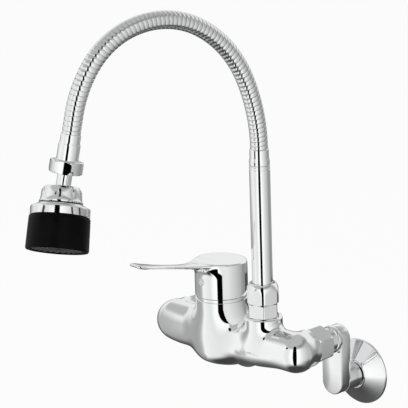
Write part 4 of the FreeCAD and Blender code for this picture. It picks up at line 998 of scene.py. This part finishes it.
def makeNeck():
    foot = joint["headTop"] + joint["neck"]
    top = foot + joint["nut"]
    end = top + joint["ferrule"]
    floor = end - joint["entry"]
    ferrule = turned([
        (5.8, top - 3), (8.55, top - 3), (8.6, top + 0.1), (8.9, top + 0.1), (9.2, top + 0.6),
        (9.2, end - 9.6), (9.1, end - 9), (8.75, end - 8), (8.5, end - 7.2), (8.4, end - 6.4),
        (8.4, end - 0.7), (8.2, end - 0.2), (7.9, end), (7.9, floor), (5.8, floor)], 128, ring=True)
    ready(ferrule, "upper_ferrule", "hose_end", "plated_brass", ["end_ferrule"], neckPlace, crease=30)

    nut = hexNut(26.6, foot, top, 8.75, 3.8, 2.4, 48, 8.75, land=0.7, swell=0.5)
    join(nut, band(6.35, 9.2, foot + 0.15, foot + 3.25))
    ready(nut, "neck_hexagon", "hose_end", "plated_brass", ["neck_nut"], neckPlace, crease=24)

    ball, stem = joint["ball"], joint["stem"]
    profile = [(0, 0.15 - ball)]
    for step in range(10, 144, 6):
        profile.append((ball * math.sin(math.radians(step)), -ball * math.cos(math.radians(step))))
    profile += [(stem, 9.2), (stem, foot + 3.4), (8.5, foot + 3.4), (8.5, foot + 5.5), (0, foot + 5.5)]
    shape = turned(profile, 96)
    half = joint["spannerFlats"] / 2
    for vert in shape.verts:  # two spanner flats on the neck
        if 9.5 < vert.co.z < foot - 1:
            vert.co.x = max(-half, min(half, vert.co.x))
    ready(shape, "ball_and_neck", "hose_end", "plated_brass", ["ball_stem"], neckPlace, crease=30)


makeNeck()

head = {
    "capTop": 15.2, "cap": 17.3, "mouth": 11.8, "notchEvery": 45, "notchHalf": 4, "notchDepth": 0.7,
    "shell": 24.8, "sleeve": 25.4, "sleeveFoot": 26.2, "jet": 8, "bars": 11, "barGap": 1.4,
    "barThick": 0.28, "nozzles": ((24, 20.0), (20, 16.4), (14, 12.9)),
}


def makeCap():
    mouth, top = head["mouth"], head["capTop"]
    cap = turned([
        (10.9, 4.6), (mouth, 9.8), (mouth + 0.5, 10), (top - 1.6, 10), (top - 0.5, 9.4), (top + 0.1, 8.5),
        (16.3, 7.6), (16.7, 6), (16.9, 3.5), (17.1, 1.2), (head["cap"], -0.6), (17.6, -1.4), (18.2, -2.4),
        (18.2, -3), (15.2, -3), (15.2, -8.8), (12.9, -8.8), (12.9, -4), (12.6, -3.6), (12.2, 0),
        (11.6, 4)], 144, ring=True)
    every = head["notchEvery"]
    for vert in cap.verts:  # grip notches round the shoulder
        reach = math.hypot(vert.co.x, vert.co.y)
        angle = math.degrees(math.atan2(vert.co.y, vert.co.x))
        off = abs((angle + every / 2) % every - every / 2)
        if reach > 15.5 and vert.co.z > 2 and off < head["notchHalf"]:
            vert.co.x *= (reach - head["notchDepth"]) / reach
            vert.co.y *= (reach - head["notchDepth"]) / reach
    ready(cap, "ball_cap", "head", "plated_plastic", ["head_cap"], headPlace, crease=30)


def makeSpray():
    shell = turned([
        (6, -9.3), (15.3, -9.3), (15.3, -3.6), (17.6, -3.6), (18.2, -3.9), (19.6, -4.8), (21.6, -5.8),
        (23.2, -6.4), (24.3, -7.0), (24.7, -7.6), (head["shell"], -8.4), (head["shell"], -14.1),
        (24.4, -14.6), (23.6, -14.7), (22, -14.7), (22, -11.6), (6, -11.6)], 144, ring=True)
    ready(shell, "spray_collar", "head", "plated_plastic", ["spray_shell"], headPlace, crease=30)

    sleeve = turned([
        (22.1, -14.95), (24.6, -14.95), (25.1, -15.1), (head["sleeve"], -15.6), (25.5, -18), (25.7, -24),
        (25.9, -30), (26.1, -37), (head["sleeveFoot"], -41.4), (26.1, -42.2), (25.6, -42.8), (24.9, -43),
        (24.2, -42.8), (23.7, -42.2), (23.6, -41.2), (22.4, -41.2), (22.4, -39.1),
        (22.1, -39.1)], 144, ring=True)
    ready(sleeve, "grip_sleeve", "mode_sleeve", "black_rubber", ["rubber_sleeve"], headPlace, crease=40)

    plate = turned([
        (9.65, -39.1), (9.65, -41.2), (10.3, -41.4), (22.0, -41.4), (22.2, -41.2),
        (22.2, -39.1)], 96, ring=True)
    for count, reach in head["nozzles"]:
        for number in range(count):
            nozzle = turned([
                (0, -41.0), (1.15, -41.2), (1.0, -42.0), (0.75, -42.25), (0.5, -42.2), (0.42, -41.6),
                (0, -41.6)], 12)
            angle = math.tau * number / count
            nozzle.transform(Matrix.Translation((reach * math.cos(angle), reach * math.sin(angle), 0)))
            join(plate, nozzle)
    ready(plate, "spray_plate", "mode_sleeve", "face_plastic", ["spray_face"], headPlace, crease=35)


def makeJet():
    wide = head["jet"]
    mesh = turned([
        (wide, -39), (wide, -33.6), (9.4, -33.6), (9.4, -41.3), (8.9, -41.8), (8.2, -41.6), (wide, -41),
        (wide, -39.6), (0, -39.6), (0, -39)], 64)
    for number in range(head["bars"]):  # straightener grid
        offset = head["barGap"] * (number - (head["bars"] - 1) / 2)
        length = 2 * math.sqrt(max(wide ** 2 - offset ** 2, 1))
        for turn in (0, 90):
            bar = bmesh.new()
            bmesh.ops.create_cube(bar, size=1)
            bmesh.ops.scale(bar, vec=(length, head["barThick"], 1.0), verts=bar.verts)
            bmesh.ops.translate(bar, vec=(0, offset, -40.3), verts=bar.verts)
            bar.transform(Matrix.Rotation(math.radians(turn), 4, "Z"))
            join(mesh, bar)
    ready(mesh, "jet_straightener", "head", "face_plastic", ["aerator"], headPlace, crease=30)


makeCap()
makeSpray()
makeJet()
print("spray head ready")

trim = {
    "radius": 22.75, "low": 75.05, "top": 78.15, "dome": 20.25, "pivot": 77, "domeTop": 84.9, "bore": 17.3,
}


def makeTrim():
    radius, low, top, dome, pivot = (trim[key] for key in ("radius", "low", "top", "dome", "pivot"))
    start, end = (math.asin((level - pivot) / dome) for level in (top, trim["domeTop"]))
    profile = [(19.4, low), (radius - 0.2, low), (radius, low + 0.25), (radius, top - 0.5),
               (radius - 0.15, top - 0.15), (radius - 0.5, top)]
    for step in range(11):
        angle = start + (end - start) * step / 10
        profile.append((dome * math.cos(angle), pivot + dome * math.sin(angle)))
    profile += [(trim["bore"], trim["domeTop"]), (trim["bore"], 76.1), (19.4, 76.1)]
    shape = turned(profile, 128, ring=True)
    ready(shape, "trim_band", "body", "plated_brass", ["trim_ring"], housingPlace, crease=30)


makeTrim()
